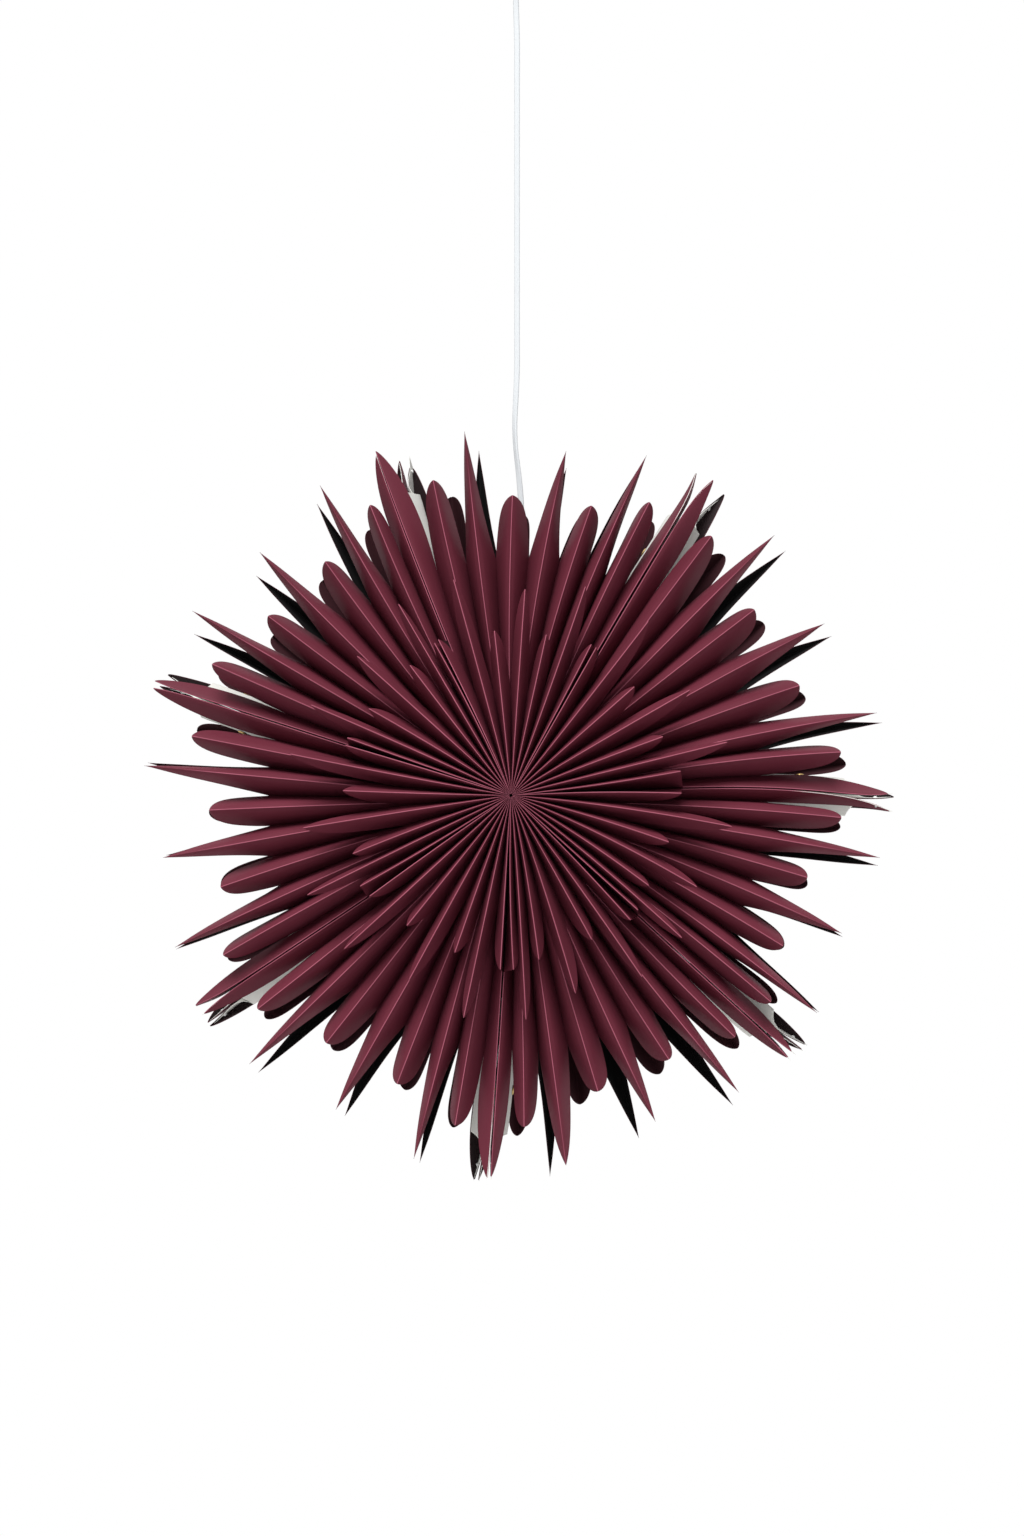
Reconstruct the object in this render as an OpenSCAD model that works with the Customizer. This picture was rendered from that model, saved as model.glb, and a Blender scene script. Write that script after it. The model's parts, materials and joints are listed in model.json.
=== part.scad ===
// Hanging paper star lamp: seven pleated card units in a ring round a lamp holder on a flat cord.
// The star faces -Y, the ceiling is the plane z = 0 and the star's centre lies under it.

/* [Place] */
// Distance from the ceiling down to the centre of the star
drop = 860; // [700:10:1200]

/* [Card] */
// Thickness of the folded card
card_t = 0.25; // [0.2:0.01:0.26]
// Thickness of the white end boards
board_t = 0.5; // [0.3:0.05:0.55]
// Gap between one glued layer and the next
glue_gap = 0.04; // [0.02:0.01:0.05]

/* [Outer fans] */
// Radius at which the outer pleats start
outer_hub_r = 11; // [11:0.5:20]
// Radius of the cut between two outer petals
outer_notch_r = 228; // [180:1:260]
// Radius of the tip at each end of the fan, beside the board
seam_tip_r = 350; // [320:1:380]
// Radius of the long round tips
round_tip_r = 308; // [280:1:320]
// Radius of the long sharp tips
sharp_tip_r = 348; // [320:1:380]
// Radius of the short round tips
short_round_tip_r = 286; // [275:1:320]
// Radius of the sharp tip in the middle of the fan
middle_tip_r = 332; // [310:1:360]
// Distance of the outer ridges from the star's mid plane
outer_ridge_y = 62; // [55:1:70]
// Distance of the outer valleys from the mid plane at the hub
outer_valley_hub_y = 45; // [38:1:50]
// Distance of the outer valleys from the mid plane at the cut
outer_valley_rim_y = 28; // [20:1:36]
// Distance of the tips beside the boards from the mid plane
seam_tip_y = 40; // [30:1:50]
// Drop of the outer ridges towards the mid plane at their tips
outer_ridge_fall = 1; // [0:0.5:3]
// Depth of the tab that is glued to the board, at the hub
tab_d = 13; // [8:1:18]
// Depth of that tab at its tip
tab_tip_d = 3; // [2:0.5:6]

/* [Inner fans] */
// Radius at which the inner pleats start
inner_hub_r = 6; // [6:0.5:12]
// Radius of the cut between two inner petals
inner_notch_r = 100; // [70:1:120]
// Radius of the tip at each end of the fan
inner_seam_tip_r = 160; // [140:1:180]
// Radius of the long inner tips
inner_long_tip_r = 208; // [180:1:220]
// Radius of the short inner tips
inner_short_tip_r = 155; // [140:1:170]
// Radius of the tip in the middle of the inner fan
inner_middle_tip_r = 193; // [170:1:215]
// Distance of the inner ridges from the mid plane at the hub
inner_ridge_hub_y = 105; // [95:1:115]
// Drop of the inner ridges towards the mid plane at their tips
inner_ridge_fall = 15; // [8:1:18]
// Distance of the inner valleys from the mid plane at the hub
inner_valley_hub_y = 75; // [70:1:85]
// Distance of the inner valleys from the mid plane at the cut
inner_valley_rim_y = 66; // [64:1:72]
// How far the wing that is glued to the tab reaches behind the board's front edge
wing_d = 12; // [8:1:13]

/* [Boards] */
// Radius at which a board starts
board_hub_r = 14; // [12:1:20]
// Width of the rim along the board's front and back edge
board_rim = 14; // [14:1:20]
// Radius of the inner edge of the strip that bridges the two rims
strip_r0 = 78; // [70:1:84]
// Radius of the outer edge of that strip
strip_r1 = 112; // [104:1:120]
// Radius at which the board's closed part starts
window_r1 = 178; // [150:1:200]
// Distance from the tips beside the boards in to a board's outer end
board_inset = 1; // [0.5:0.5:3]
// Depth of the round hollow in the board's outer end
board_end_hollow = 26; // [10:1:28]
// Width of the ear that is left at each side of the hollow
board_ear = 16; // [15:0.5:20]

/* [Fasteners] */
// Radius of the circle on which the brass fasteners sit
fastener_r = 264; // [230:1:290]
// Diameter of the fastener's shank
fastener_d = 2.4; // [2:0.1:3]
// Diameter of the fastener's head
fastener_head_d = 9; // [7:0.5:12]
// Height of the fastener's domed head
fastener_head_h = 1.4; // [1:0.1:2]
// Length of each of the fastener's two folded legs
fastener_leg = 10.5; // [8:0.5:14]
// Distance from the tips beside the boards in to the white studs
stud_inset = 9; // [7:0.5:14]
// Distance from the board's edge to the head of a stud
stud_edge_gap = 6; // [5.5:0.5:8]
// Diameter of the stud's shank
stud_d = 1.2; // [1:0.1:1.6]
// Diameter of the stud's round head
stud_head_d = 4.2; // [3.5:0.1:5]
// Clearance round a shank in its hole
hole_clear = 0.3; // [0.2:0.05:0.4]

/* [Lamp holder] */
// Outer diameter of the holder
holder_d = 30; // [28:0.5:34]
// Wall of the holder
holder_wall = 2; // [1.5:0.1:3]
// Diameter of the neck above the holder's shoulder
neck_d = 18; // [16:0.5:20]
// Length of the hook at each end of the wire hanger
hook_l = 7; // [5:0.5:10]
// Diameter of the wire hanger
wire_d = 2; // [1.6:0.1:2.4]
// Running clearance between the parts of the holder
part_clear = 0.3; // [0.2:0.05:0.35]
// Diameter of the bulb's glass
bulb_d = 45; // [40:1:50]
// Diameter of the bulb's screw cap
bulb_cap_d = 14; // [13.5:0.1:14]

/* [Cord] */
// Width of the flat cord
cord_w = 5.4; // [5:0.1:6]
// Thickness of the flat cord
cord_t = 2.7; // [2.5:0.1:3]

/* [Ceiling cup] */
// Diameter of the cup at the ceiling
cup_d = 92; // [84:1:110]
// Diameter of the cup's floor
cup_floor_d = 64; // [56:1:72]
// Height of the cup
cup_h = 38; // [34:1:50]
// Wall of the cup
cup_wall = 1.8; // [1.5:0.1:2.4]
// Distance between the two screw holes of the bracket
bracket_holes = 60; // [50:1:64]
// Diameter of the screw holes
bracket_hole_d = 4.5; // [4:0.1:5]
// Width of the bracket
bracket_w = 16; // [14:1:20]
// Thickness of the bracket
bracket_t = 1.5; // [1.2:0.1:2]

/* [Hidden] */
$fn = 64;
units = 7;

// Seams between the units, in degrees from the right, and how far each stands open
seam_angle = [1, 59.5, 111.5, 162.5, 214, 266.5, 317];
seam_open = [0.2, 0.35, 0.15, 0.2, 0.2, 0.4, 0.2];

// How far the middle of each fan leans, and how much closer the pleats stand beside the boards
outer_lean = [-1.3, -3.6, -1.1, 2.2, 0.4, 2, -1.4];
inner_lean = [1.5, 1.5, 1.3, 1, 0.7, -3, -4.5];
outer_bunch = 1.4;
inner_bunch = 0.3;

// Layers beside a seam, as distances from the plane through the star's axis
wing_w = glue_gap;
tab_w = wing_w + card_t + glue_gap;
board_w = tab_w + card_t + glue_gap;
outer_edge_w = board_w + board_t + glue_gap;
inner_edge_w = tab_w;
stud_r = seam_tip_r - stud_inset;
cut = 1;
cord_clear = 1;

// Tips along a fan, and the exponents of their outlines
outer_reach = [seam_tip_r, round_tip_r, sharp_tip_r, short_round_tip_r, middle_tip_r,
    short_round_tip_r, sharp_tip_r, round_tip_r, seam_tip_r];
inner_reach = [inner_seam_tip_r, inner_long_tip_r, inner_short_tip_r, inner_middle_tip_r,
    inner_short_tip_r, inner_long_tip_r, inner_seam_tip_r];
sharp_form = [1, 0.95];
round_form = [2, 1.8];
seam_form = [1.7, 1.5];
inner_form = [1.6, 1.4];
outer_forms = [seam_form, round_form, sharp_form, round_form, sharp_form,
    round_form, sharp_form, round_form, seam_form];
outer_points = 4;
inner_points = 3;

// Heights of the lamp holder above the star's centre
bulb_z = -6;
socket_z = 28;
socket_top_z = 62;
shoulder_z = 84;
neck_top_z = 94;
grip_top_z = 106;
bore_d = 17.6;
cap_lip = 2;
groove_step = 5;
groove_r = 1.2;
sleeve_h = 22;
contact_h = 9;
contact_t = 0.8;
block_h = 8;
terminal_d = 3.4;
nut_d = 13;
wire_z = shoulder_z + part_clear + wire_d / 2;
wire_ring_r = neck_d / 2 + part_clear + wire_d / 2;

// Terminal block in the ceiling cup, and how far the bracket reaches past its holes
terminal_block_size = [18, 12, 14];
bracket_end = 8;

// Route of the cord, from the holder's grip to the ceiling cup: x, y, z under the ceiling, twist
cord_route = [
    [0, 0, -774, 0], [0, 0, -752, 0], [1, 0, -728, 0], [3, 0, -700, 5], [4, 0, -670, 10],
    [5, 0, -640, 15], [5, 0, -610, 15], [5, 0, -585, 10], [4, 0, -565, -10], [2, 0, -545, -35],
    [0, 0, -528, -45],
    [-1, 0, -512, -45], [-1, 0, -496, -35], [0, 0, -475, -25], [1, 0, -450, -20], [1, 0, -420, -20],
    [1, 0, -380, -20], [1, 0, -340, -20], [1, 0, -300, -20], [1, 0, -260, -15], [1, 0, -220, -15],
    [1, 0, -180, -10], [1, 0, -140, -5], [0, 0, -100, 0], [0, 0, -60, 0], [0, 0, -16, 0]
];

burgundy = [0.42, 0.16, 0.22];
white_card = [0.9, 0.9, 0.88];

function unit_start(k) = seam_angle[k] + seam_open[k] / 2;
function unit_end(k) =
    seam_angle[(k + 1) % units] + (k == units - 1 ? 360 : 0) - seam_open[(k + 1) % units] / 2;

// A point at radius r and angle a, moved sideways in the star's plane, at depth y
function place(r, a, side, y) = [r * cos(a) - side * sin(a), y, r * sin(a) + side * cos(a)];

// Angle of a fold, numbered from one board to the other; at the hub the folds are evenly spaced
function fold_angle(k, fold, folds, r, edge_w, lean, bunch) =
    let (inset = asin(edge_w / r))
    let (first = unit_start(k) + inset)
    let (last = unit_end(k) - inset)
    let (t = fold / folds)
    first + (last - first) * t + lean * sin(180 * t) - bunch * sin(360 * t);

function flip(faces, yes) = yes ? [for (f = faces) [f[2], f[1], f[0]]] : faces;
function quad(a, b, c, d) = [[a, b, c], [a, c, d]];
function flat(lists) = [for (l = lists) each l];

// Points along a petal's edge: share of the way to the tip, and share of the width that is left
function edge_steps(form, count) = [
    for (i = [1:count])
        let (s = form[0] > 1.5 ? sin(90 * i / (count + 1)) : i / (count + 1))
        [s, pow(1 - pow(s, form[0]), 1 / form[1])]
];
function edge_line(hub, notch, tip, along, steps) =
    let (foot = hub + (tip - hub) * along)
    [for (e = steps) foot + (tip - foot) * e[0] + (notch - foot) * e[1]];

// One sheet folded into a fan. ridge_y and valley_y give the depths at the hub and further out.
// Each ridge has two edges in front and one behind, and each valley one in front and two behind,
// so that the card keeps its thickness where the pleats stand close together.
module fan(k, reach, forms, count, hub_r, notch_r, edge_w, flap_w, flap_y, ridge_y, tip_y,
    valley_y, lean, bunch) {
    n = len(reach) - 1;
    folds = 2 * n;
    hub_a = [for (f = [0:folds]) fold_angle(k, f, folds, hub_r, edge_w, 0, 0)];
    tip_a = [for (f = [0:folds]) fold_angle(k, f, folds, f % 2 == 0 ? reach[f / 2] : notch_r, edge_w,
        lean, bunch)];
    start_a = unit_start(k);
    end_a = unit_end(k);

    function ridge(i) =
        let (a0 = hub_a[2 * i])
        let (a1 = tip_a[2 * i])
        let (y1 = tip_y[i])
        let (r1 = reach[i])
        [
            i == 0 ? place(hub_r, start_a, flap_w, -ridge_y) : place(hub_r, a0, -card_t, -ridge_y),
            i == n ? place(hub_r, end_a, -flap_w, -ridge_y) : place(hub_r, a0, card_t, -ridge_y),
            place(hub_r, a0, 0, card_t - ridge_y),
            i == 0 ? place(r1, start_a, flap_w, -y1) : place(r1, a1, -card_t, -y1),
            i == n ? place(r1, end_a, -flap_w, -y1) : place(r1, a1, card_t, -y1),
            place(r1, a1, 0, card_t - y1)
        ];
    function valley(j) =
        let (a0 = hub_a[2 * j + 1])
        let (a1 = tip_a[2 * j + 1])
        [
            place(hub_r, a0, 0, -valley_y[0] - card_t),
            place(hub_r, a0, -card_t, -valley_y[0]),
            place(hub_r, a0, card_t, -valley_y[0]),
            place(notch_r, a1, 0, -valley_y[1] - card_t),
            place(notch_r, a1, -card_t, -valley_y[1]),
            place(notch_r, a1, card_t, -valley_y[1])
        ];
    ridges = [for (i = [0:n]) ridge(i)];
    valleys = [for (j = [0:n - 1]) valley(j)];

    // Edge points of half petal p, in front and behind
    function half_edge(p) =
        let (i = ceil(p / 2))
        let (j = floor(p / 2))
        let (right = p % 2 == 0)
        let (steps = edge_steps(forms[i], count))
        let (along = (notch_r - hub_r) / (reach[i] - hub_r))
        let (front = edge_line(ridges[i][right ? 1 : 0], valleys[j][3], ridges[i][right ? 4 : 3],
            along, steps))
        let (back = edge_line(ridges[i][2], valleys[j][right ? 4 : 5], ridges[i][5], along, steps))
        concat(front, back);
    halves = [for (p = [0:folds - 1]) half_edge(p)];

    // The flap at each end: its free edge outside and inside, and the inner corner of its fold
    function flap(a, s, r0, r1, y0, y1) = [
        place(r0, a, s * flap_w, -flap_y[0]), place(r0, a, s * (flap_w + card_t), -flap_y[0]),
        place(r0, a, s * (flap_w + card_t), card_t - y0),
        place(r1, a, s * flap_w, -flap_y[1]), place(r1, a, s * (flap_w + card_t), -flap_y[1]),
        place(r1, a, s * (flap_w + card_t), card_t - y1)
    ];
    flaps = [
        flap(start_a, 1, hub_r, reach[0], ridge_y, tip_y[0]),
        flap(end_a, -1, hub_r, reach[n], ridge_y, tip_y[n])
    ];

    function rv(i) = 6 * i;
    function vv(j) = 6 * (n + 1 + j);
    function hv(p) = 6 * (2 * n + 1) + 2 * count * p;
    function ev(e) = 6 * (2 * n + 1) + 2 * count * folds + 6 * e;

    function half_faces(p) =
        let (i = ceil(p / 2))
        let (j = floor(p / 2))
        let (right = p % 2 == 0)
        let (hub_f = rv(i) + (right ? 1 : 0))
        let (tip_f = rv(i) + (right ? 4 : 3))
        let (hub_b = rv(i) + 2)
        let (tip_b = rv(i) + 5)
        let (path_f = concat([vv(j) + 3], [for (e = [0:count - 1]) hv(p) + e], [tip_f]))
        let (path_b = concat([vv(j) + (right ? 4 : 5)], [for (e = [0:count - 1]) hv(p) + count + e],
            [tip_b]))
        let (root_f = vv(j))
        let (root_b = vv(j) + (right ? 1 : 2))
        flip(concat(
            [[hub_f, root_f, path_f[0]]],
            [[hub_b, path_b[0], root_b]],
            [for (e = [0:count]) [hub_f, path_f[e], path_f[e + 1]]],
            [for (e = [0:count]) [hub_b, path_b[e + 1], path_b[e]]],
            flat([for (e = [0:count]) quad(path_f[e + 1], path_f[e], path_b[e], path_b[e + 1])]),
            quad(root_f, hub_f, hub_b, root_b)
        ), !right);
    function ridge_faces(i) = concat(
        quad(rv(i), rv(i) + 1, rv(i) + 4, rv(i) + 3),
        i > 0 && i < n ? [[rv(i) + 1, rv(i), rv(i) + 2], [rv(i) + 3, rv(i) + 4, rv(i) + 5]] : []
    );
    function valley_faces(j) = concat(
        quad(vv(j) + 1, vv(j) + 4, vv(j) + 5, vv(j) + 2),
        [[vv(j), vv(j) + 1, vv(j) + 2], [vv(j) + 3, vv(j) + 5, vv(j) + 4]]
    );
    function flap_faces(e) =
        let (i = e == 0 ? 0 : n)
        let (near = e == 0 ? 1 : 0)
        let (far = 1 - near)
        let (a = [rv(i) + near, rv(i) + far, ev(e), ev(e) + 1, ev(e) + 2, rv(i) + 2])
        let (b = [rv(i) + near + 3, rv(i) + far + 3, ev(e) + 3, ev(e) + 4, ev(e) + 5, rv(i) + 5])
        flip(concat(
            flat([for (m = [1:4]) quad(a[m], b[m], b[m + 1], a[m + 1])]),
            [[a[1], a[2], a[3]], [a[1], a[3], a[4]], [a[0], a[1], a[4]], [a[0], a[4], a[5]]],
            [[b[3], b[2], b[1]], [b[4], b[3], b[1]], [b[4], b[1], b[0]], [b[5], b[4], b[0]]]
        ), e == 1);

    polyhedron(
        points = concat(flat(ridges), flat(valleys), flat(halves), flat(flaps)),
        faces = concat(
            flat([for (p = [0:folds - 1]) half_faces(p)]),
            flat([for (i = [0:n]) ridge_faces(i)]),
            flat([for (j = [0:n - 1]) valley_faces(j)]),
            flap_faces(0),
            flap_faces(1)
        )
    );
}

module at_star() translate([0, 0, -drop]) children();

module front_outer_fan(k) color(burgundy) at_star() fan(
    k, outer_reach, outer_forms, outer_points, outer_hub_r, outer_notch_r, outer_edge_w, tab_w,
    [outer_ridge_y - tab_d, seam_tip_y - tab_tip_d], outer_ridge_y,
    [for (form = outer_forms) form == seam_form ? seam_tip_y : outer_ridge_y - outer_ridge_fall],
    [outer_valley_hub_y, outer_valley_rim_y], outer_lean[k], outer_bunch);

module front_inner_fan(k) color(burgundy) at_star() fan(
    k, inner_reach, [for (r = inner_reach) inner_form], inner_points, inner_hub_r, inner_notch_r,
    inner_edge_w, wing_w,
    [seam_edge_y(inner_hub_r) - wing_d, seam_edge_y(inner_seam_tip_r) - wing_d],
    inner_ridge_hub_y,
    [for (r = inner_reach) inner_ridge_hub_y - inner_ridge_fall * r / inner_long_tip_r],
    [inner_valley_hub_y, inner_valley_rim_y], inner_lean[k], inner_bunch);

// Distance from the mid plane of the fold that lies over the board's edge, at radius r
function seam_edge_y(r) =
    outer_ridge_y - (outer_ridge_y - seam_tip_y) * (r - outer_hub_r) / (seam_tip_r - outer_hub_r);
function board_edge_y(r) = seam_edge_y(r) - card_t - glue_gap;

module back_outer_fan(k) mirror([0, 1, 0]) front_outer_fan(k);
module back_inner_fan(k) mirror([0, 1, 0]) front_inner_fan(k);

// Opening in a board between two radii, with the rims left at the front and the back
module board_window(r0, r1) polygon([
    [r0, -board_edge_y(r0) + board_rim], [r1, -board_edge_y(r1) + board_rim],
    [r1, board_edge_y(r1) - board_rim], [r0, board_edge_y(r0) - board_rim]
]);

module board_sheet() {
    tip = seam_tip_r - board_inset;
    hollow_half = board_edge_y(tip) - board_ear;
    hollow_r = (pow(hollow_half, 2) + pow(board_end_hollow, 2)) / (2 * board_end_hollow);
    linear_extrude(board_t) difference() {
        polygon([
            [board_hub_r, -board_edge_y(board_hub_r)], [tip, -board_edge_y(tip)],
            [tip, board_edge_y(tip)], [board_hub_r, board_edge_y(board_hub_r)]
        ]);
        translate([tip - board_end_hollow + hollow_r, 0]) circle(hollow_r, $fn = 180);
        board_window(board_hub_r - cut, strip_r0);
        board_window(strip_r1, window_r1);
        translate([fastener_r, 0]) circle(d = fastener_d + 2 * hole_clear);
        for (s = [-1, 1])
            translate([stud_r, s * stud_y]) circle(d = stud_d + 2 * hole_clear);
    }
}
stud_y = board_edge_y(stud_r) - stud_head_d / 2 - stud_edge_gap;

module board(k, at_end) color(white_card) at_star() difference() {
    rotate([0, -(at_end ? unit_end(k) : unit_start(k)), 0])
        translate([0, 0, at_end ? -board_w - board_t : board_w])
            board_sheet();
    translate([0, 0, wire_z])
        rotate([0, 90, 0])
            cylinder(d = wire_d + 2 * hole_clear, h = 2 * strip_r1, center = true);
}

// What crosses seam k at radius r and depth y is drawn along z, with z = 0 in the seam's plane
module across_seam(k, r, y) at_star() rotate([0, -seam_angle[k], 0]) translate([r, y, 0]) children();
// Distance from the seam's plane to the inner face of either board at radius r
function seam_half(k, r) =
    r * sin(seam_open[k] / 2) + (board_w + board_t) * cos(seam_open[k] / 2);

module brass_fasteners() color("goldenrod") for (k = [0:units - 1]) across_seam(k, fastener_r, 0) {
    half = seam_half(k, fastener_r) + part_clear;
    dome_r = (pow(fastener_head_d / 2, 2) + pow(fastener_head_h, 2)) / (2 * fastener_head_h);
    leg_t = fastener_d / 4;
    cylinder(d = fastener_d, h = 2 * half + leg_t, center = true);
    translate([0, 0, half]) rotate_extrude() intersection() {
        translate([0, fastener_head_h - dome_r]) circle(dome_r);
        square([fastener_head_d / 2, fastener_head_d]);
    }
    translate([0, 0, -half - leg_t / 2])
        cube([2 * fastener_leg, fastener_d, leg_t], center = true);
}

module tip_studs() color("white") for (k = [0:units - 1], s = [-1, 1]) across_seam(k, stud_r, s * stud_y) {
    half = seam_half(k, stud_r) + part_clear;
    cylinder(d = stud_d, h = 2 * half + stud_d, center = true);
    for (m = [0, 1])
        mirror([0, 0, m]) translate([0, 0, half]) intersection() {
            sphere(d = stud_head_d);
            translate([-stud_head_d, -stud_head_d, 0]) cube(2 * stud_head_d);
        }
}

module wire_hanger() color("silver") at_star() translate([0, 0, wire_z]) {
    past_board = hook_l + wire_d;
    left = -wire_z / tan(180 - seam_angle[2]) - past_board;
    right = wire_z / tan(seam_angle[1]) + past_board;
    rotate_extrude() translate([wire_ring_r, 0]) circle(d = wire_d);
    translate([wire_ring_r, 0, 0]) rotate([0, 90, 0]) cylinder(d = wire_d, h = right - wire_ring_r);
    translate([-wire_ring_r, 0, 0]) rotate([0, -90, 0]) cylinder(d = wire_d, h = -left - wire_ring_r);
    for (x = [left, right])
        translate([x, 0, -hook_l]) {
            cylinder(d = wire_d, h = hook_l);
            translate([0, 0, hook_l]) sphere(d = wire_d);
        }
}

module holder_shell() color("white") at_star() rotate_extrude() difference() {
    translate([0, socket_z]) square([holder_d / 2, socket_top_z - socket_z]);
    translate([0, socket_z - cut]) square([bore_d / 2, socket_top_z - socket_z - cap_lip]);
    translate([0, socket_z]) square([bore_d / 2 - cap_lip, socket_top_z]);
    for (z = [socket_z + groove_step, socket_z + 2 * groove_step])
        translate([holder_d / 2 + groove_r / 2, z]) circle(groove_r);
}

module holder_cap() color("white") at_star() rotate_extrude() difference() {
    union() {
        translate([0, socket_top_z + part_clear])
            square([holder_d / 2, shoulder_z - socket_top_z - part_clear]);
        translate([0, shoulder_z]) square([neck_d / 2, neck_top_z - shoulder_z]);
    }
    translate([0, socket_top_z]) square([holder_d / 2 - holder_wall, shoulder_z - socket_top_z - holder_wall]);
    square([cord_w / 2 + cord_clear, neck_top_z + cut]);
}

module screw_sleeve() color("goldenrod") at_star() translate([0, 0, socket_z + cap_lip]) difference() {
    cylinder(d = bore_d - 2 * part_clear, h = sleeve_h);
    translate([0, 0, -cut]) cylinder(d = bulb_cap_d + 2 * part_clear, h = sleeve_h + 2 * cut);
}

module contact_block() color("white") at_star() translate([0, 0, socket_top_z + 2 * part_clear]) {
    difference() {
        cylinder(d = holder_d - 2 * holder_wall - 2 * part_clear, h = block_h);
        for (x = [-1, 1])
            translate([x * holder_d / 5, 0, block_h / 2]) cylinder(d = terminal_d, h = block_h);
    }
}

module centre_contact() color("goldenrod") at_star() {
    translate([0, 0, socket_top_z - contact_h]) cylinder(d = 5, h = contact_h + part_clear);
    translate([0, 0, socket_top_z - contact_h - contact_t]) cylinder(d = 8, h = contact_t);
}

module bulb() color("white") at_star() rotate_extrude() {
    intersection() {
        translate([0, bulb_z]) circle(d = bulb_d);
        translate([0, bulb_z - bulb_d]) square(2 * bulb_d);
    }
    tip_z = socket_top_z - contact_h - contact_t - part_clear;
    polygon([[0, bulb_z], [bulb_d * 0.42, bulb_z + bulb_d * 0.28], [bulb_cap_d / 2, socket_z - cut],
        [bulb_cap_d / 2, tip_z - 4], [bulb_cap_d / 4, tip_z - 1], [0, tip_z]]);
}

// Nut that clamps the cord, with its base at z = 0
module cord_nut(d, h) difference() {
    union() {
        cylinder(d = d * 1.3, h = h / 3, $fn = 6);
        translate([0, 0, h / 3]) cylinder(d1 = d, d2 = cord_w + 3 * cord_clear, h = h * 2 / 3);
    }
    translate([0, 0, -cut]) cylinder(d = cord_w + 2 * part_clear, h = h + 2 * cut);
}

module holder_grip() color("white") at_star() translate([0, 0, neck_top_z + part_clear])
    cord_nut(nut_d, grip_top_z - neck_top_z - part_clear);

module cup_grip() color("white") translate([0, 0, -cup_h - part_clear]) mirror([0, 0, 1])
    cord_nut(nut_d, grip_top_z - neck_top_z);

// Flat cord swept along its route: every ring is an eight-sided flat section
module cord() {
    ring = [for (s = [[1, -0.4], [1, 0.4], [0.8, 1], [-0.8, 1], [-1, 0.4], [-1, -0.4], [-0.8, -1], [0.8, -1]])
        [s[0] * cord_w / 2, s[1] * cord_t / 2]];
    sides = len(ring);
    rings = len(cord_route);
    color("white") polyhedron(
        points = [for (p = cord_route) for (s = ring)
            [p[0] + s[0] * cos(p[3]) - s[1] * sin(p[3]), p[1] + s[0] * sin(p[3]) + s[1] * cos(p[3]), p[2]]],
        faces = concat(
            [[for (i = [0:sides - 1]) i]],
            flat([for (m = [0:rings - 2], i = [0:sides - 1])
                let (a = m * sides + i)
                let (b = m * sides + (i + 1) % sides)
                quad(a, a + sides, b + sides, b)]),
            [[for (i = [sides - 1:-1:0]) (rings - 1) * sides + i]]
        )
    );
}

module ceiling_cup() color("white") rotate_extrude() difference() {
    polygon([[0, -cup_h], [cup_floor_d / 2, -cup_h], [cup_d / 2, -part_clear], [0, -part_clear]]);
    polygon([[0, -cup_h + cup_wall], [cup_floor_d / 2 - cup_wall, -cup_h + cup_wall],
        [cup_d / 2 - cup_wall, cut], [0, cut]]);
    translate([0, -cup_h - cut]) square([cord_w / 2 + cord_clear, cup_wall + 2 * cut]);
}

module ceiling_bracket() color("silver") difference() {
    translate([-bracket_holes / 2 - bracket_end, -bracket_w / 2, -bracket_t])
        cube([bracket_holes + 2 * bracket_end, bracket_w, bracket_t]);
    for (x = [-1, 1])
        translate([x * bracket_holes / 2, 0, -bracket_t - cut])
            cylinder(d = bracket_hole_d, h = bracket_t + 2 * cut);
}

module terminal_block() color("white")
    translate([0, 0, -bracket_t - part_clear - terminal_block_size.z / 2]) difference() {
        cube(terminal_block_size, center = true);
        for (x = [-1, 1])
            translate([x * terminal_block_size.x / 4, 0, -terminal_block_size.z / 2])
                cylinder(d = terminal_d, h = terminal_block_size.z, center = true);
    }

for (k = [0:units - 1]) {
    front_outer_fan(k);
    front_inner_fan(k);
    back_outer_fan(k);
    back_inner_fan(k);
    board(k, false);
    board(k, true);
}
brass_fasteners();
tip_studs();
wire_hanger();
holder_shell();
holder_cap();
holder_grip();
screw_sleeve();
contact_block();
centre_contact();
bulb();
cord();
ceiling_cup();
cup_grip();
ceiling_bracket();
terminal_block();
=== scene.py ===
"""Looks of a hanging paper star lamp: burgundy card fans, white boards, holder and cord."""

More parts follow.
